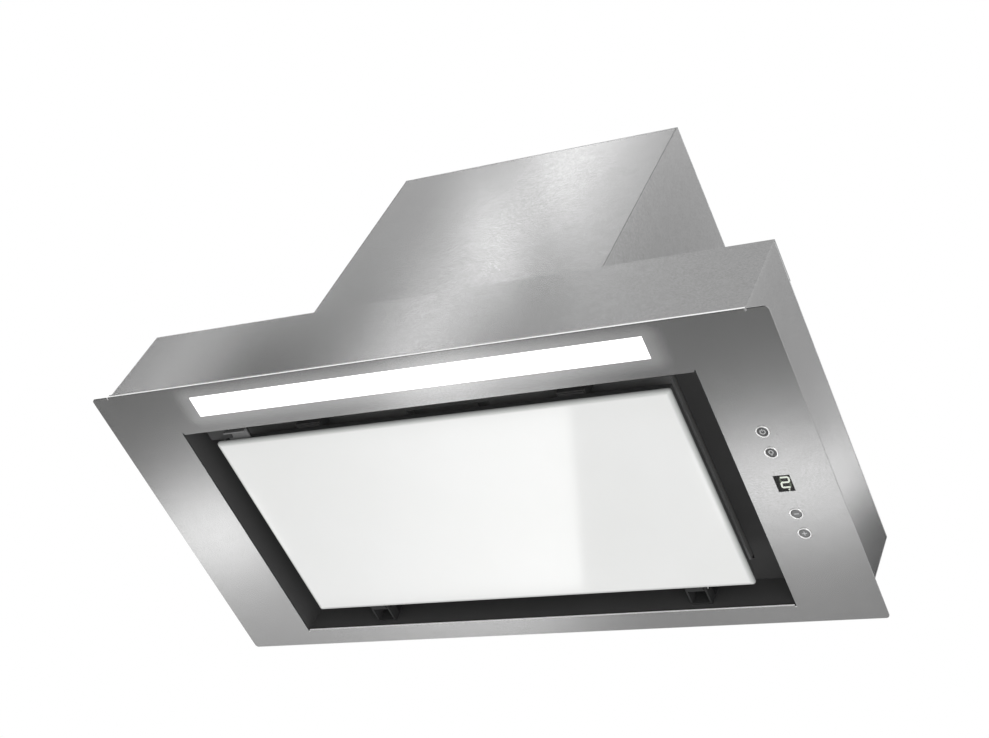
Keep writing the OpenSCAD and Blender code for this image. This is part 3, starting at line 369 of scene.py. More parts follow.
def painted_highlight_finish(name, tone, painted_glint):
    """Steel along a fold, pale and glowing a little as a painted highlight; the last number is how much it
    glows, standing in for the light the rounded corner throws back.
    """
    finish, tree, shader = new_finish(name, metallic=0.35, roughness=0.4, emission=painted_glint)
    cloud = noise(tree, (8, 1, 1))
    tree.links.new(two_tone(tree, cloud, [tone * 0.95] * 3, [tone] * 3), shader.inputs["Base Color"])
    return finish


# Painted light: the plate's steel glows faintly round the strip's cover, a painted halo standing in for the
# strip's light on it.
strip_low, strip_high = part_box("led_diffuser")
cover_rim = 1.8
painted_halo_reach = 30.0
painted_halo_level = 0.125
painted_halo_squeeze = (1.5, 2.2, 0)
plate_tree = plate_steel.node_tree
plate_spot = node(plate_tree, "TexCoord")
strip_middle = [(a + b) / 2 for a, b in zip(strip_low, strip_high)]
strip_half = [(b - a) / 2 - cover_rim * mm for a, b in zip(strip_low, strip_high)]
from_middle = node(plate_tree, "VectorMath", {0: plate_spot.outputs["Object"], 1: strip_middle},
                   operation="SUBTRACT")
one_side = node(plate_tree, "VectorMath", {0: from_middle.outputs[0]}, operation="ABSOLUTE")
beyond = node(plate_tree, "VectorMath", {0: one_side.outputs[0], 1: strip_half}, operation="SUBTRACT")
outside = node(plate_tree, "VectorMath", {0: beyond.outputs[0], 1: (0, 0, 0)}, operation="MAXIMUM")
narrowed = node(plate_tree, "VectorMath", {0: outside.outputs[0], 1: painted_halo_squeeze}, operation="MULTIPLY")
distance = node(plate_tree, "VectorMath", {0: narrowed.outputs[0]}, operation="LENGTH")
painted_strip_halo = node(plate_tree, "MapRange", {"Value": distance.outputs["Value"],
                                           "From Max": painted_halo_reach * mm, "To Min": painted_halo_level,
                                           "To Max": 0.0}, interpolation_type="SMOOTHSTEP")
plate_tree.links.new(painted_strip_halo.outputs[0],
                     plate_tree.nodes["Principled BSDF"].inputs["Emission Strength"])

# Painted light: the front lip has a painted shade at its foot and a painted highlight up to its head. The
# fold at the opening's back edge has a painted highlight below its line and a painted shade above.
lip_foot = 0.8
lip_head = 2.3
lip_depth = 0.2
fold_line = 1.1
back_fold_start = 120
back_fold_half = 231
underside_skin = 0.02
leaning_front = -0.3
plate_shape = softened("base_plate", radius=0.3)
plate_front, plate_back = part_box("base_plate")[0][1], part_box("suction_frame")[1][1]
for line in (lip_foot, fold_line, lip_head):
    bmesh.ops.bisect_plane(plate_shape, geom=[*plate_shape.verts, *plate_shape.edges, *plate_shape.faces],
                           plane_co=(0, 0, line * mm), plane_no=(0, 0, 1))
for face in plate_shape.faces:
    spot = face.calc_center_median()
    on_lip = spot.y < plate_front + lip_depth * mm
    on_back_fold = back_fold_start * mm < spot.y < plate_back and abs(spot.x) < back_fold_half * mm
    if face.normal.y > leaning_front or spot.z < underside_skin * mm:
        continue
    if on_lip and spot.z < lip_head * mm:
        face.material_index = 1 if spot.z > lip_foot * mm else 2
    if on_back_fold:
        face.material_index = 1 if spot.z < fold_line * mm else 2
face_plate = piece("face_plate", plate_shape, "hood", plate_steel, ["base_plate"])
# The second finish is a painted highlight and the third a painted shade.
face_plate.data.materials.append(painted_highlight_finish("painted_highlight_fold", 0.95, 0.16))
face_plate.data.materials.append(coated_finish("painted_shade_fold", (0.03, 0.03, 0.03), rough=0.8, peel=0.5))

# The lower box
# A folded front and two sides of the same brushed steel, closed behind and above by galvanised sheet.
# The front laps over the deck, and the back is held by blind rivets.
front_steel = brushed_steel("front_steel_brushed", steel_tone, (1, 0, 0), (0, 0, 1))
side_steel = brushed_steel("side_steel_brushed", steel_tone, (0, 1, 0), (0, 0, 1), rough=0.15)
sheet_edge = 0.35
hole_edge = 1.2


def zinc_finish(name, tone=0.5, flake=7.0):
    """Galvanised sheet: zinc flakes that each mirror the room a little differently."""
    finish, tree, shader = new_finish(name, metallic=1.0)
    place = node(tree, "TexCoord")
    stretch = node(tree, "Mapping", {"Vector": place.outputs["Object"], "Scale": [1 / (flake * mm)] * 3})
    flakes = node(tree, "TexVoronoi", {"Vector": stretch.outputs[0], "Scale": 1, "Randomness": 1.0})
    level = node(tree, "SeparateColor", {0: flakes.outputs["Color"]})
    soft = noise(tree, (3, 3, 3))
    share = node(tree, "Mix", {0: 0.35, 2: level.outputs[0], 3: soft})
    tree.links.new(two_tone(tree, share.outputs[0], [tone * 0.8, tone * 0.81, tone * 0.83],
                            [tone * 1.12, tone * 1.13, tone * 1.15]), shader.inputs["Base Color"])
    gloss = node(tree, "MapRange", {"Value": level.outputs[1], "To Min": 0.32, "To Max": 0.5})
    tree.links.new(gloss.outputs[0], shader.inputs["Roughness"])
    return finish


zinc = zinc_finish("zinc_spangle")
piece("box_front", softened("body_front", sheet_edge), "hood", front_steel, ["body_front"])
piece("box_side_right", softened("body_side_right", sheet_edge, hole_edge), "hood",
      side_steel, ["body_side_right"])
piece("box_side_left", softened("body_side_left", sheet_edge, hole_edge), "hood",
      side_steel, ["body_side_left"])
piece("box_back", softened("body_back", sheet_edge, hole_edge), "hood", zinc, ["body_back"])
piece("box_deck", softened("body_deck", sheet_edge, hole_edge), "hood", zinc, ["body_deck"])


def parts_of(part):
    """Gives the middle of each separate solid in a CAD node and its low and high corner, in mm."""
    shape = bmesh.new()
    shape.from_mesh(frame["nodes"][part].data)
    bmesh.ops.remove_doubles(shape, verts=shape.verts, dist=weld_gap * mm)
    waiting = set(shape.verts)
    found = []
    while waiting:
        reached = [waiting.pop()]
        for vert in reached:
            for edge in vert.link_edges:
                other = edge.other_vert(vert)
                if other in waiting:
                    waiting.remove(other)
                    reached.append(other)
        low = [min(vert.co[axis] for vert in reached) / mm for axis in range(3)]
        high = [max(vert.co[axis] for vert in reached) / mm for axis in range(3)]
        found.append(([(a + b) / 2 for a, b in zip(low, high)], low, high))
    shape.free()
    return sorted(found)


def turned(shape, profile, at, axis=(0, 0, 1), steps=32):
    """Turns an outline of (radius, height) points in mm on a lathe and sets it down along an axis."""
    verts = [shape.verts.new((radius * mm, 0, height * mm)) for radius, height in profile]
    edges = [shape.edges.new(pair) for pair in zip(verts, verts[1:])]
    known = set(shape.verts) - set(verts)
    bmesh.ops.spin(shape, geom=verts + edges, cent=(0, 0, 0), axis=(0, 0, 1), dvec=(0, 0, 0),
                   angle=2 * math.pi, steps=steps, use_merge=True)
    made = [vert for vert in shape.verts if vert not in known]
    bmesh.ops.remove_doubles(shape, verts=made, dist=weld_gap * mm)
    made = [vert for vert in shape.verts if vert not in known]
    turn = Vector(axis).to_track_quat("Z", "Y").to_matrix().to_4x4()
    bmesh.ops.transform(shape, verts=made, matrix=Matrix.Translation(Vector(at) * mm) @ turn)
    faces = {face for vert in made for face in vert.link_faces}
    bmesh.ops.recalc_face_normals(shape, faces=list(faces))
    return made


def plated_finish(name, tone, rough=0.22):
    """Bright plating with the faint cloudiness of a barrel bath."""
    finish, tree, shader = new_finish(name, metallic=1.0)
    cloud = noise(tree, (1.5, 1.5, 1.5))
    tree.links.new(two_tone(tree, cloud, [tone * 0.88] * 3, [tone * 1.06] * 3), shader.inputs["Base Color"])
    gloss = node(tree, "MapRange", {"Value": cloud, "To Min": rough - 0.05, "To Max": rough + 0.07})
    tree.links.new(gloss.outputs[0], shader.inputs["Roughness"])
    return finish


fastener_plating = plated_finish("fastener_plating", 0.62)
rivet_r = 3.2
rivet_h = 0.9
shank_r = 1.6
stem_r = 0.9
stem_gap = 0.15


def blind_rivets(name, part):
    """Domed rivets with the stem's stub in the middle, their shanks as long as the CAD's."""
    shape = bmesh.new()
    for middle, low, high in parts_of(part):
        length = high[1] - low[1] - rivet_h
        dome = [(rivet_r * math.sin(a), rivet_h * 0.2 + rivet_h * 0.8 * math.cos(a))
                for a in (0.45, 0.7, 0.95, 1.2, 1.4, math.pi / 2)]
        profile = [(0, rivet_h * 0.5), (stem_r * 0.8, rivet_h * 0.5), (stem_r, rivet_h * 0.3),
                   (stem_r + stem_gap, rivet_h * 0.85)] + dome
        profile += [(rivet_r, 0), (shank_r, 0), (shank_r, -length), (0, -length)]
        turned(shape, profile, (middle[0], high[1] - rivet_h, middle[2]), (0, 1, 0))
    return piece(name, shape, "hood", fastener_plating, [part])


blind_rivets("box_back_rivets", "body_rivets")

# The upper housing
# A taller box over the blower, its front panel set between the two sides with a hair's gap at each edge.
# It stands on the deck with six pan-head screws through its flanges.
piece("housing_front_panel", softened("housing_front", sheet_edge), "hood",
      front_steel, ["housing_front"])
piece("housing_right_panel", softened("housing_side_right", sheet_edge, hole_edge), "hood",
      side_steel, ["housing_side_right"])
piece("housing_left_panel", softened("housing_side_left", sheet_edge, hole_edge), "hood",
      side_steel, ["housing_side_left"])
piece("housing_back_panel", softened("housing_back", sheet_edge, hole_edge), "hood",
      zinc, ["housing_back"])
piece("housing_top_panel", softened("housing_top", sheet_edge, hole_edge), "hood",
      zinc, ["housing_top"])
blind_rivets("housing_back_rivets", "housing_rivets")


screw_shank_r = 1.9
head_shares = ((0.72, 0.98), (0.9, 0.8), (1.0, 0.45), (1.0, 0))
recess_share = 0.6


def cross_screw(shape, at, head_r, head_h, length):
    """An upright pan-head screw with a pressed cross recess; at is the middle of the head's seat, in mm."""
    cells = 5
    slot_w = head_r / cells
    start = set(shape.verts)
    bmesh.ops.create_grid(shape, x_segments=cells, y_segments=cells, size=slot_w * cells / 2 * mm,
                          matrix=Matrix.Translation((0, 0, head_h * mm)))
    top = [face for vert in shape.verts if vert not in start for face in vert.link_faces]
    middle = slot_w * 0.51 * mm
    arm = slot_w * 1.51 * mm
    cross = []
    for face in set(top):
        x, y = [abs(value) for value in face.calc_center_median()[:2]]
        if (x < middle and y < arm) or (y < middle and x < arm):
            cross.append(face)
    cross.sort(key=lambda face: tuple(face.calc_center_median()))
    rim = sorted({edge for face in top for edge in face.edges if edge.is_boundary},
                 key=lambda edge: tuple((edge.verts[0].co + edge.verts[1].co) / 2))
    shank_share = screw_shank_r / head_r
    for radius, height in (*head_shares, (shank_share, 0), (shank_share, -length / head_h)):
        grown = bmesh.ops.extrude_edge_only(shape, edges=rim)["geom"]
        rim = [part for part in grown if isinstance(part, bmesh.types.BMEdge)]
        for vert in {vert for edge in rim for vert in edge.verts}:
            out = Vector((vert.co.x, vert.co.y, 0)).normalized() * radius * head_r * mm
            vert.co = (out.x, out.y, height * head_h * mm)
    bmesh.ops.contextual_create(shape, geom=rim)
    sunk = bmesh.ops.extrude_face_region(shape, geom=cross)["geom"]
    floor_verts = [part for part in sunk if isinstance(part, bmesh.types.BMVert)]
    bmesh.ops.delete(shape, geom=cross, context="FACES")
    bmesh.ops.translate(shape, verts=floor_verts, vec=(0, 0, -head_h * recess_share * mm))
    bmesh.ops.scale(shape, verts=floor_verts, vec=(recess_share, recess_share, 1))
    made = [vert for vert in shape.verts if vert not in start]
    bmesh.ops.translate(shape, verts=made, vec=Vector(at) * mm)
    faces = {face for vert in made for face in vert.link_faces}
    bmesh.ops.recalc_face_normals(shape, faces=list(faces))


def screws_for(name, part, head_h):
    """Cross-head screws where the CAD node has its plain ones, as long and with heads as wide."""
    shape = bmesh.new()
    for middle, low, high in parts_of(part):
        head_r = (high[0] - low[0]) / 2
        seat = high[2] - head_h
        cross_screw(shape, (middle[0], middle[1], seat), head_r, head_h, seat - low[2])
    return piece(name, shape, "hood", fastener_plating, [part], crease=40)


housing_flange_t = 1
housing_screw_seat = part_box("body_deck")[1][2] / mm + housing_flange_t
screws_for("housing_flange_screws", "housing_screws",
           head_h=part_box("housing_screws")[1][2] / mm - housing_screw_seat)

# The suction frame
# A pressed tray of black coated sheet inside the opening. It carries the filter on its shelf, and its
# dark walls are what shows through the slots round the glass.


def dress(finish, *parts):
    """Gives CAD nodes that stay as they are their finish."""
    for part in parts:
        mesh = frame["nodes"][part].data
        mesh.materials.clear()
        mesh.materials.append(finish)


black_coat = coated_finish("black_powder_coat", (0.073, 0.073, 0.074), rough=0.7)
piece("suction_tray", softened("suction_frame", radius=0.4), "hood", black_coat,
      ["suction_frame"])

# The light strip
# A white aluminium-backed board with a row of diodes lies in a folded channel behind an opal cover,
# which snaps into the front of the plate. Its driver stands in the lower box.
cover_level = 1.15
aluminium = plated_finish("mill_aluminium", 0.6, 0.35)
piece("light_channel", softened("led_channel", radius=0.3), "hood", aluminium,
      ["led_channel"])
board_white = coated_finish("white_board_lacquer", (0.82, 0.82, 0.8), rough=0.35, peel=0.6, depth=0.01)
dress(board_white, "led_board")


def opal_finish(name):
    """Lit opal plastic, its glow a touch uneven along the strip."""
    finish, tree, shader = new_finish(name, roughness=0.35)
    cloud = noise(tree, (30, 6, 6))
    tree.links.new(two_tone(tree, cloud, [0.93] * 3, [0.97] * 3), shader.inputs["Base Color"])
    shader.inputs["Emission Color"].default_value = (1, 1, 1, 1)
    glow = node(tree, "MapRange", {"Value": cloud, "To Min": cover_level, "To Max": cover_level * 1.08})
    tree.links.new(glow.outputs[0], shader.inputs["Emission Strength"])
    return finish


piece("light_cover", softened("led_diffuser", radius=0.5), "hood", opal_finish("lit_opal"),
      ["led_diffuser"])
diode_count = 27
diode_size = 2.8
diode_h = 0.7
diode_edge = 0.12
board_low, board_high = [[value / mm for value in corner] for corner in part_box("led_board")]
diodes = bmesh.new()
for index in range(diode_count):
    spot = board_low[0] + (index + 0.5) * (board_high[0] - board_low[0]) / diode_count
    bmesh.ops.create_cube(diodes, size=1, matrix=Matrix.Translation(
        Vector((spot, (board_low[1] + board_high[1]) / 2, board_low[2] - diode_h / 2)) * mm)
        @ Matrix.Diagonal((diode_size * mm, diode_size * mm, diode_h * mm, 1)))
bmesh.ops.bevel(diodes, geom=list(diodes.edges), offset=diode_edge * mm, segments=1, profile=0.5,
                affect="EDGES", material=-1)
piece("light_diodes", diodes, "hood", opal_finish("lit_diode"))
white_plastic = coated_finish("white_moulding", (0.8, 0.8, 0.78), rough=0.42, peel=0.5, depth=0.02)
piece("light_driver", softened("led_driver", radius=1.2), "hood", white_plastic,
      ["led_driver"])

# The controls
# Four moulded push buttons in chrome bezels and a small display behind a smoked window, in a black
# housing clipped up against the plate. The marks on the caps are printed.
chrome = plated_finish("bezel_chrome_plating", 0.88, 0.16)
black_plastic = coated_finish("black_moulding", (0.035, 0.035, 0.036), rough=0.45, peel=0.4, depth=0.03)
board_green = coated_finish("green_lacquer", (0.03, 0.17, 0.07), rough=0.3, peel=0.8, depth=0.02)
dress(black_plastic, "control_housing", "control_switches", "display_module")
dress(board_green, "control_board")
bezel_r = 5.3
bezel_bore_r = 4.0
bezel_skirt_r = 4.6
bezel_shape = bmesh.new()
for middle, low, high in parts_of("button_bezels"):
    deep = high[2] - low[2]
    profile = [(bezel_bore_r, deep), (bezel_bore_r, 0.6), (4.08, 0.25), (4.3, 0.04), (4.5, 0),
               (4.95, 0.02), (5.15, 0.12), (bezel_r, 0.4), (bezel_r, 0.6), (bezel_skirt_r, 0.62),
               (bezel_skirt_r, deep), (bezel_bore_r, deep)]
    turned(bezel_shape, profile, (middle[0], middle[1], low[2]), steps=48)
piece("button_bezel_rings", bezel_shape, "hood", chrome, ["button_bezels"])
cap_grey = coated_finish("satin_cap_grey", (0.17, 0.17, 0.173), rough=0.32, peel=0.3, depth=0.01)
cap_dark = coated_finish("satin_cap_dark", (0.085, 0.085, 0.087), rough=0.32, peel=0.3, depth=0.01)
mark_white = coated_finish("printed_mark", (0.7, 0.71, 0.72), rough=0.4, peel=0.2, depth=0.005)
cap_r = 3.8
cap_h = 2.9
cap_flange_h = 1.0
cap_stem_r = 2.2
mark_proud = 0.02
mark_h = 0.2
line_w = 0.5


def flat_bar(shape, x, y, width, height):
    """Adds a thin bar to a printed mark; sizes are in mm."""
    bmesh.ops.create_grid(shape, x_segments=1, y_segments=1, size=0.5,
                          matrix=Matrix.Translation((x * mm, y * mm, 0))
                          @ Matrix.Diagonal((width * mm, height * mm, 1, 1)))


def flat_arc(shape, x, y, radius, start, stop):
    """Adds an arc as wide as a mark's line, from one angle to another in degrees."""
    ends = [shape.verts.new((r * mm * math.cos(math.radians(start)) + x * mm,
                             r * mm * math.sin(math.radians(start)) + y * mm, 0))
            for r in (radius - line_w / 2, radius + line_w / 2)]
    edge = shape.edges.new(ends)
    bmesh.ops.spin(shape, geom=[*ends, edge], cent=(x * mm, y * mm, 0), axis=(0, 0, 1), dvec=(0, 0, 0),
                   angle=math.radians(stop - start), steps=max(4, int((stop - start) / 12)))


def power_mark(shape):
    """A broken ring with a bar in its gap; the top of each mark is towards the hood's front."""
    flat_arc(shape, 0, 0, radius=1.9, start=-55, stop=235)
    flat_bar(shape, 0, -1.5, width=line_w, height=2)


def light_mark(shape):
    """A lamp bulb: a round glass over two short base lines."""
    flat_arc(shape, 0, -0.55, radius=1.55, start=-230, stop=50)
    flat_bar(shape, 0, 1.05, width=1.9, height=line_w * 0.9)
    flat_bar(shape, 0, 1.95, width=1.3, height=line_w * 0.9)


def minus_mark(shape):
    """One bar."""
    flat_bar(shape, 0, 0, width=3.8, height=line_w * 1.1)


def plus_mark(shape):
    """Two crossed bars."""
    minus_mark(shape)
    flat_bar(shape, 0, 0, width=line_w * 1.1, height=3.8)


for button, draw_mark in (("power", power_mark), ("light", light_mark), ("minus", minus_mark),
                          ("plus", plus_mark)):
    part = "button_" + button
    low, high = [[value / mm for value in corner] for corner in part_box(part)]
    middle_x, middle_y = (low[0] + high[0]) / 2, (low[1] + high[1]) / 2
    cap = bmesh.new()
    deep = high[2] - low[2]
    flange_r = (high[0] - low[0]) / 2
    profile = [(0, 0.12), (cap_r * 0.55, 0.07), (cap_r * 0.82, 0), (cap_r * 0.95, 0.06), (cap_r, 0.3),
               (cap_r, cap_h), (flange_r, cap_h), (flange_r, cap_h + cap_flange_h),
               (cap_stem_r, cap_h + cap_flange_h), (cap_stem_r, deep), (0, deep)]
    turned(cap, profile, (middle_x, middle_y, low[2]), steps=40)
    cap_finish = cap_dark if button in ("power", "light") else cap_grey
    piece("cap_" + button, cap, button + "_button", cap_finish, [part])
    mark = bmesh.new()
    draw_mark(mark)
    bmesh.ops.remove_doubles(mark, verts=mark.verts, dist=weld_gap * mm)
    grown = bmesh.ops.extrude_face_region(mark, geom=list(mark.faces))["geom"]
    bmesh.ops.translate(mark, verts=[part for part in grown if isinstance(part, bmesh.types.BMVert)],
                        vec=(0, 0, mark_h * mm))
    bmesh.ops.translate(mark, verts=mark.verts,
                        vec=Vector((middle_x, middle_y, low[2] - mark_proud)) * mm)
    bmesh.ops.recalc_face_normals(mark, faces=mark.faces)
    piece("mark_" + button, mark, button + "_button", mark_white)


def lit_finish(name, colour, level):
    """A display segment that glows evenly, with the faint mottle of its diffuser; on an unlit segment the
    glow is painted light.
    """
    finish, tree, shader = new_finish(name, roughness=0.5)
    mottle = noise(tree, (0.6, 0.6, 0.6))
    dark = [value * 0.9 for value in colour]
    glow = two_tone(tree, mottle, dark, colour)
    tree.links.new(glow, shader.inputs["Base Color"])
    tree.links.new(glow, shader.inputs["Emission Color"])
    shader.inputs["Emission Strength"].default_value = level
    return finish


segment_lit = lit_finish("segment_lit", (1.0, 0.96, 0.97), level=17)
# Painted light: the unlit segments glow faintly too, standing in for the room's light that shows them
# through the smoked window.
unlit_segment_painted_glow = lit_finish("unlit_segment_painted_glow", (0.22, 0.25, 0.2), level=9)
window_low, window_high = [[value / mm for value in corner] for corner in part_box("display_lens")]
digit_right = 0.3
digit_back = 0.5
digit_clear = 0.01
digit_x = (window_low[0] + window_high[0]) / 2 + digit_right
digit_y = (window_low[1] + window_high[1]) / 2 + digit_back
digit_z = window_high[2] + digit_clear
digit_w = 7.8
digit_h = 10.6
segment_w = 1.25
segment_h = 0.3
segment_gap = 0.1
segment_corner_share = 0.48
digit_lean = 0.08
lying = (digit_w - segment_w - 2 * segment_gap, segment_w)
upright = (segment_w, digit_h / 2 - segment_w / 2 - 2 * segment_gap)
half_w = (digit_w - segment_w) / 2
half_h = (digit_h - segment_w) / 2
dot_r = 0.6
dot_inset = 2.4
dot_drop = 2.1
dot_x = digit_w / 2 - dot_inset
dot_y = half_h + dot_drop
# Each segment has its name, its middle, its size and whether it is lit.
segments = (
    ("top", 0, -half_h, lying, True),
    ("middle", 0, 0, lying, True),
    ("bottom", 0, half_h, lying, True),
    ("upper_right", half_w, -half_h / 2, upright, True),
    ("lower_left", -half_w, half_h / 2, upright, True),
    ("upper_left", -half_w, -half_h / 2, upright, False),
    ("lower_right", half_w, half_h / 2, upright, False))
for lit in (True, False):
    digit = bmesh.new()
    for name, x, y, size, is_lit in segments:
        if is_lit != lit:
            continue
        known = set(digit.verts)
        bmesh.ops.create_grid(digit, x_segments=1, y_segments=1, size=0.5,
                              matrix=Matrix.Translation(Vector((x, y, 0)) * mm)
                              @ Matrix.Diagonal((size[0] * mm, size[1] * mm, 1, 1)))
        corners = [vert for vert in digit.verts if vert not in known]
        bmesh.ops.bevel(digit, geom=corners, offset=segment_w * segment_corner_share * mm, segments=1,
                        profile=0.5, affect="VERTICES", material=-1)
    if lit:
        bmesh.ops.create_circle(digit, cap_ends=True, segments=16, radius=dot_r * mm,
                                matrix=Matrix.Translation(Vector((dot_x, dot_y, 0)) * mm))
    for vert in digit.verts:
        vert.co.x -= vert.co.y * digit_lean
    grown = bmesh.ops.extrude_face_region(digit, geom=list(digit.faces))["geom"]
    bmesh.ops.translate(digit, verts=[part for part in grown if isinstance(part, bmesh.types.BMVert)],
                        vec=(0, 0, segment_h * mm))
    bmesh.ops.translate(digit, verts=digit.verts, vec=Vector((digit_x, digit_y, digit_z)) * mm)
    bmesh.ops.recalc_face_normals(digit, faces=digit.faces)
    piece("display_digit_lit" if lit else "display_digit_unlit", digit, "hood",
          segment_lit if lit else unlit_segment_painted_glow)


def smoked_finish(name):
    """Polished smoked acrylic, faintly green."""
    finish, tree, shader = new_finish(name, ior=1.2, specular=0.2, transmission=1.0)
    haze = noise(tree, (6, 6, 6))
    tint = two_tone(tree, haze, (0.045, 0.05, 0.043), (0.055, 0.06, 0.053))
    tree.links.new(tint, shader.inputs["Base Color"])
    gloss = node(tree, "MapRange", {"Value": haze, "To Min": 0.02, "To Max": 0.05})
    tree.links.new(gloss.outputs[0], shader.inputs["Roughness"])
    return finish


piece("display_window", softened("display_lens", radius=0.2), "hood",
      smoked_finish("smoked_window"), ["display_lens"])

# The glass panel
# Toughened glass with a white back and ground, polished edges, bonded to a folded black tray. It hangs
# on two hinges at the back and is held up at the front by two magnets. A grey steel tab is there to pull.
glass_corner = 2.8
arris = 2.6
rim_fade = 1.8
ground_grey = (0.36, 0.37, 0.367)
border_grey = (0.55, 0.56, 0.555)
glass_low, glass_high = [[value / mm for value in corner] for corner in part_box("glass_panel")]


def rounded_slab(low, high, corner, round_over, corner_steps=8, edge_steps=3):
    """A flat slab with round corners and rounded edges, between two corners in mm."""
    shape = bmesh.new()
    bmesh.ops.create_cube(shape, size=1)
    size = [b - a for a, b in zip(low, high)]
    middle = [(a + b) / 2 for a, b in zip(low, high)]
    bmesh.ops.scale(shape, verts=shape.verts, vec=Vector(size) * mm)
    bmesh.ops.translate(shape, verts=shape.verts, vec=Vector(middle) * mm)
    upright_edges = [edge for edge in shape.edges
                     if abs(edge.verts[0].co.z - edge.verts[1].co.z) > weld_gap * mm]
    bmesh.ops.bevel(shape, geom=upright_edges, offset=corner * mm, offset_type="OFFSET",
                    segments=corner_steps, profile=0.5, affect="EDGES", material=-1)
    rims = [edge for edge in shape.edges if edge.calc_face_angle(0) > math.radians(60)]
    bmesh.ops.bevel(shape, geom=rims, offset=round_over * mm, offset_type="OFFSET", segments=edge_steps,
                    profile=0.5, affect="EDGES", material=-1)
    return shape


def white_glass_finish(name):
    """Glass with white ceramic paint behind it, which fades at its border, and grey ground edges."""
    finish, tree, shader = new_finish(name, roughness=0.06, ior=1.5)
    facing = node(tree, "NewGeometry")
    split = node(tree, "SeparateXYZ", {0: facing.outputs["Normal"]})
    level = node(tree, "Math", {0: split.outputs["Z"]}, operation="ABSOLUTE")
    face = node(tree, "MapRange", {"Value": level.outputs[0], "From Min": 0.3, "From Max": 0.95})
    cloud = noise(tree, (120, 120, 120))
    paint = two_tone(tree, cloud, (0.86, 0.865, 0.86), (0.88, 0.885, 0.885))
    place = node(tree, "TexCoord")
    middle = [(a + b) / 2 * mm for a, b in zip(glass_low, glass_high)]
    half = [(b - a) / 2 * mm for a, b in zip(glass_low, glass_high)]
    offset = node(tree, "VectorMath", {0: place.outputs["Object"], 1: middle}, operation="SUBTRACT")
    side = node(tree, "VectorMath", {0: offset.outputs[0]}, operation="ABSOLUTE")
    inset = node(tree, "VectorMath", {0: half, 1: side.outputs[0]}, operation="SUBTRACT")
    apart = node(tree, "SeparateXYZ", {0: inset.outputs[0]})
    nearest = node(tree, "Math", {0: apart.outputs["X"], 1: apart.outputs["Y"]}, operation="MINIMUM")
    cover = node(tree, "MapRange", {"Value": nearest.outputs[0], "From Min": arris / 2 * mm,
                                    "From Max": (arris + rim_fade) * mm},
                 interpolation_type="SMOOTHSTEP")
    print_edge = node(tree, "Mix", {0: cover.outputs[0], 6: (*border_grey, 1), 7: paint}, data_type="RGBA")
    edge = node(tree, "Mix", {0: face.outputs[0], 6: (*ground_grey, 1), 7: print_edge.outputs[2]},
                data_type="RGBA")
    tree.links.new(edge.outputs[2], shader.inputs["Base Color"])
    wave = noise(tree, (60, 60, 60), detail=1.0)
    relief = node(tree, "Bump", {"Height": wave, "Strength": 0.05, "Distance": 0.05 * mm})
    tree.links.new(relief.outputs[0], shader.inputs["Normal"])
    return finish


piece("glass_sheet", rounded_slab(glass_low, glass_high, glass_corner, arris), "panel",
      white_glass_finish("white_glass"), ["glass_panel"])
piece("glass_tray", softened("panel_tray", radius=0.5), "panel", black_coat, ["panel_tray"])
tab_grey = coated_finish("tab_satin_grey", (0.2, 0.2, 0.203), rough=0.75, peel=1.2, depth=0.01)
piece("pull_tab_strip", softened("pull_tab", radius=0.2), "panel", tab_grey, ["pull_tab"])
root_low = (-212, -96.5, 5.6)
root_high = (-190, -86.3, 7.4)
root_grey = coated_finish("tab_root_grey", (0.045, 0.045, 0.046), rough=0.8, peel=1.2, depth=0.01)
root_shape = rounded_slab(root_low, root_high, corner=0.4, round_over=0.2, corner_steps=2, edge_steps=2)
piece("pull_tab_root", root_shape, "panel", root_grey)
# Painted shade: the hinges wear a darker copy of the black coat, so that they stay as dark as the shade in
# the slot round them.
hinge_coat_painted_shade = coated_finish("hinge_coat_painted_darker", (0.045, 0.045, 0.046), rough=0.9, depth=0.01, specular=0.1)
dress(hinge_coat_painted_shade, "hinge_brackets", "hinge_knuckles")
dress(black_coat, "catch_magnets")
dress(fastener_plating, "hinge_pins")

# The grease filter
# Two sheets of expanded aluminium over a ripple of finer mesh, in a folded frame with a dark grey coat.
# It hooks in at the back, and the latch in its handle cup at the front slides back to let it down.
frame_coat = coated_finish("filter_frame_coat", (0.2, 0.2, 0.202), rough=0.8, peel=0.9, depth=0.02)
piece("filter_rim", softened("filter_frame", radius=0.4), "hood", frame_coat,
      ["filter_frame"])
mesh_metal = plated_finish("mesh_aluminium", 0.45, 0.4)
mesh_low, mesh_high = [[value / mm for value in corner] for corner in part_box("filter_mesh")]
mesh_inset = 1.0
cell_w = 11.0
cell_h = 5.5
strand = 0.9


def cut_across(shape, axis, spot, side, trim):
    """Cuts a sheet straight at a place on an axis in metres, and may trim off what is on that side."""
    plane = [0, 0, 0]
    normal = [0, 0, 0]
    plane[axis] = spot
    normal[axis] = side
    bmesh.ops.bisect_plane(shape, geom=[*shape.verts, *shape.edges, *shape.faces], plane_co=plane,
                           plane_no=normal, clear_outer=trim)


def cut_window(shape, low, high):
    """Takes the faces out of a sheet between two corners in metres."""
    for axis in (0, 1):
        for spot in (low[axis], high[axis]):
            cut_across(shape, axis, spot, 1, False)
    inside = []
    for face in shape.faces:
        middle = face.calc_center_median()
        if low[0] < middle.x < high[0] and low[1] < middle.y < high[1]:
            inside.append(face)
    bmesh.ops.delete(shape, geom=inside, context="FACES")


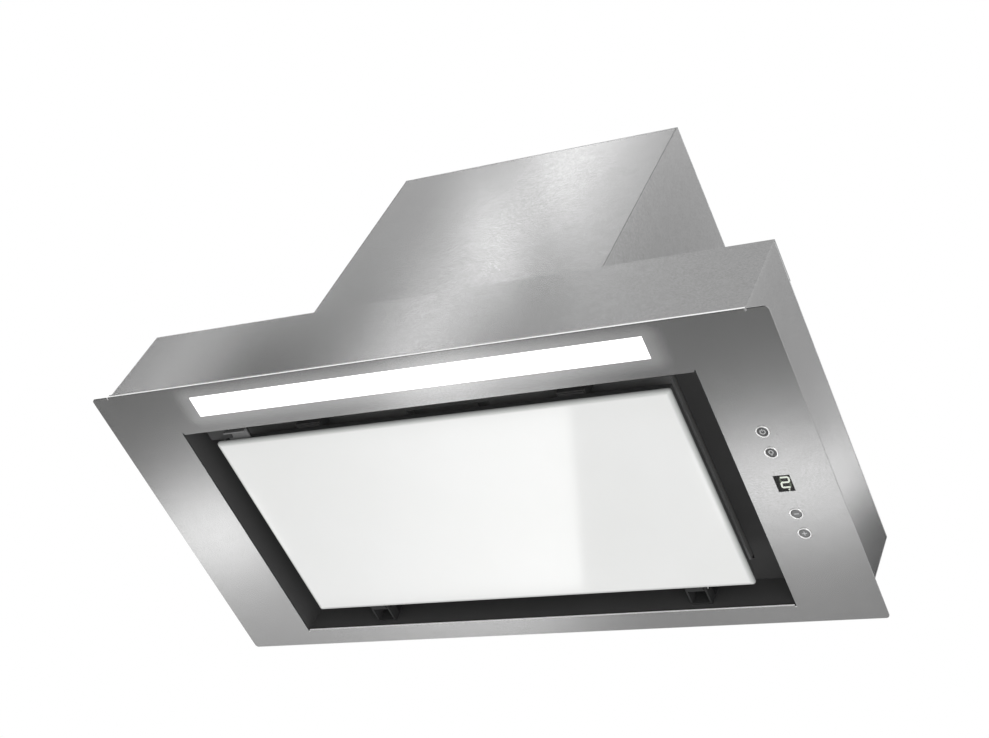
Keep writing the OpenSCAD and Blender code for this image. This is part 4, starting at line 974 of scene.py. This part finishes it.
def expanded_sheet(low, high):
    """Sheet metal that was slit and pulled open into diamonds, cut to a rectangle in mm."""
    shape = bmesh.new()
    count = int((high[0] - low[0]) / cell_w + (high[1] - low[1]) / cell_h) + 2
    bmesh.ops.create_grid(shape, x_segments=count, y_segments=count, size=count / 2)
    bmesh.ops.rotate(shape, verts=shape.verts, cent=(0, 0, 0), matrix=Matrix.Rotation(math.pi / 4, 3, "Z"))
    bmesh.ops.scale(shape, verts=shape.verts,
                    vec=(cell_w * mm / math.sqrt(2), cell_h * mm / math.sqrt(2), 1))
    bmesh.ops.translate(shape, verts=shape.verts, vec=[(a + b) / 2 * mm for a, b in zip(low, high)])
    for axis in (0, 1):
        cut_across(shape, axis, low[axis] * mm, -1, True)
        cut_across(shape, axis, high[axis] * mm, 1, True)
    cut_window(shape, *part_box("filter_handle"))
    bmesh.ops.wireframe(shape, faces=shape.faces, thickness=strand * mm, use_replace=True,
                        use_boundary=True, use_even_offset=True)
    return shape


for name, level, stands_for in (("filter_mesh_lower", mesh_low[2] + strand, ["filter_mesh"]),
                                ("filter_mesh_upper", mesh_high[2] - strand, [])):
    layer = expanded_sheet((mesh_low[0] + mesh_inset, mesh_low[1] + mesh_inset, level),
                           (mesh_high[0] - mesh_inset, mesh_high[1] - mesh_inset, level))
    piece(name, layer, "hood", mesh_metal, stands_for)
core_inset = 1.5
core_t = 1.0
ripple_h = 1.1
ripple_across = 0.9
ripple_back = 1.1
ripple_wander = 0.4
core = bmesh.new()
bmesh.ops.create_grid(core, x_segments=96, y_segments=44, size=0.5)
bmesh.ops.scale(core, verts=core.verts, vec=((mesh_high[0] - mesh_low[0] - 2 * core_inset) * mm,
                                             (mesh_high[1] - mesh_low[1] - 2 * core_inset) * mm, 1))
bmesh.ops.translate(core, verts=core.verts, vec=[(a + b) / 2 * mm for a, b in zip(mesh_low, mesh_high)])
cut_window(core, *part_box("filter_handle"))
for vert in core.verts:
    across = vert.co.x / mm
    back = vert.co.y / mm
    waves = math.sin(across * ripple_across + math.sin(back * ripple_wander))
    vert.co.z += ripple_h * mm * waves * math.cos(back * ripple_back)
bmesh.ops.solidify(core, geom=core.faces, thickness=core_t * mm)
core_metal = plated_finish("mesh_core_aluminium", 0.3, 0.45)
piece("filter_mesh_core", core, "hood", core_metal)
piece("filter_grip_cup", softened("filter_handle", radius=0.4), "hood", frame_coat,
      ["filter_handle"])
piece("filter_latch_slide", softened("filter_latch", radius=0.3), "latch", frame_coat,
      ["filter_latch"])

# The blower
# A double-inlet wheel in a scroll of galvanised sheet, with a motor on a bracket in its right inlet and
# black inlet rings. It is out of sight in a closed hood, so its CAD nodes carry their finishes.
dress(zinc, "scroll_wrapper", "scroll_side_left", "scroll_side_right", "motor_bracket")
dress(black_plastic, "inlet_rings")
dress(plated_finish("wheel_aluminium", 0.55, 0.32), "blower_wheel")
dress(plated_finish("ground_shaft_steel", 0.5, 0.2), "motor_shaft", "motor_rotor")
dress(plated_finish("cast_motor_shell", 0.5, 0.45), "motor_shell")


def copper_finish(name):
    """Enamelled copper wire, its turns a fine ripple round the core."""
    finish, tree, shader = new_finish(name, metallic=0.8, roughness=0.35)
    turns = noise(tree, (20, 0.6, 0.6))
    tree.links.new(two_tone(tree, turns, (0.42, 0.17, 0.07), (0.66, 0.3, 0.14)), shader.inputs["Base Color"])
    return finish


dress(copper_finish("enamelled_copper"), "motor_stator")


def bronze_finish(name):
    """Sintered bronze, dull and slightly pitted."""
    finish, tree, shader = new_finish(name, metallic=1.0, roughness=0.45)
    pits = noise(tree, (0.5, 0.5, 0.5))
    tree.links.new(two_tone(tree, pits, (0.42, 0.28, 0.12), (0.58, 0.4, 0.18)), shader.inputs["Base Color"])
    return finish


dress(bronze_finish("sintered_bronze"), "motor_bearings")

# The outlet
# A moulded spigot for round duct on top of the housing, screwed down through its flange. Two half-round
# flaps on pins inside it close when the blower stops.
piece("outlet_collar", softened("outlet_spigot", radius=0.3, shortest=hole_edge), "hood",
      black_plastic, ["outlet_spigot"])
outlet_head_h = 2
screws_for("outlet_flange_screws", "outlet_screws", outlet_head_h)
dress(fastener_plating, "flap_pins")
flap_plastic = coated_finish("flap_moulding", (0.09, 0.09, 0.092), rough=0.5, peel=0.5, depth=0.03)
for side in ("front", "rear"):
    piece("flap_leaf_" + side, softened("flap_" + side, radius=0.3, shortest=hole_edge), side + "_flap",
          flap_plastic, ["flap_" + side])

# The terminal box
# A black moulded box on the deck, where the supply cable comes in through a gland and meets the motor's
# capacitor. Its lid closes it from above.
piece("terminal_tub", softened("terminal_box", radius=0.5, shortest=hole_edge), "hood",
      black_plastic, ["terminal_box"])
piece("terminal_cover", softened("terminal_lid", radius=0.6), "hood", black_plastic,
      ["terminal_lid"])
dress(white_plastic, "capacitor")
dress(black_plastic, "cable_gland")
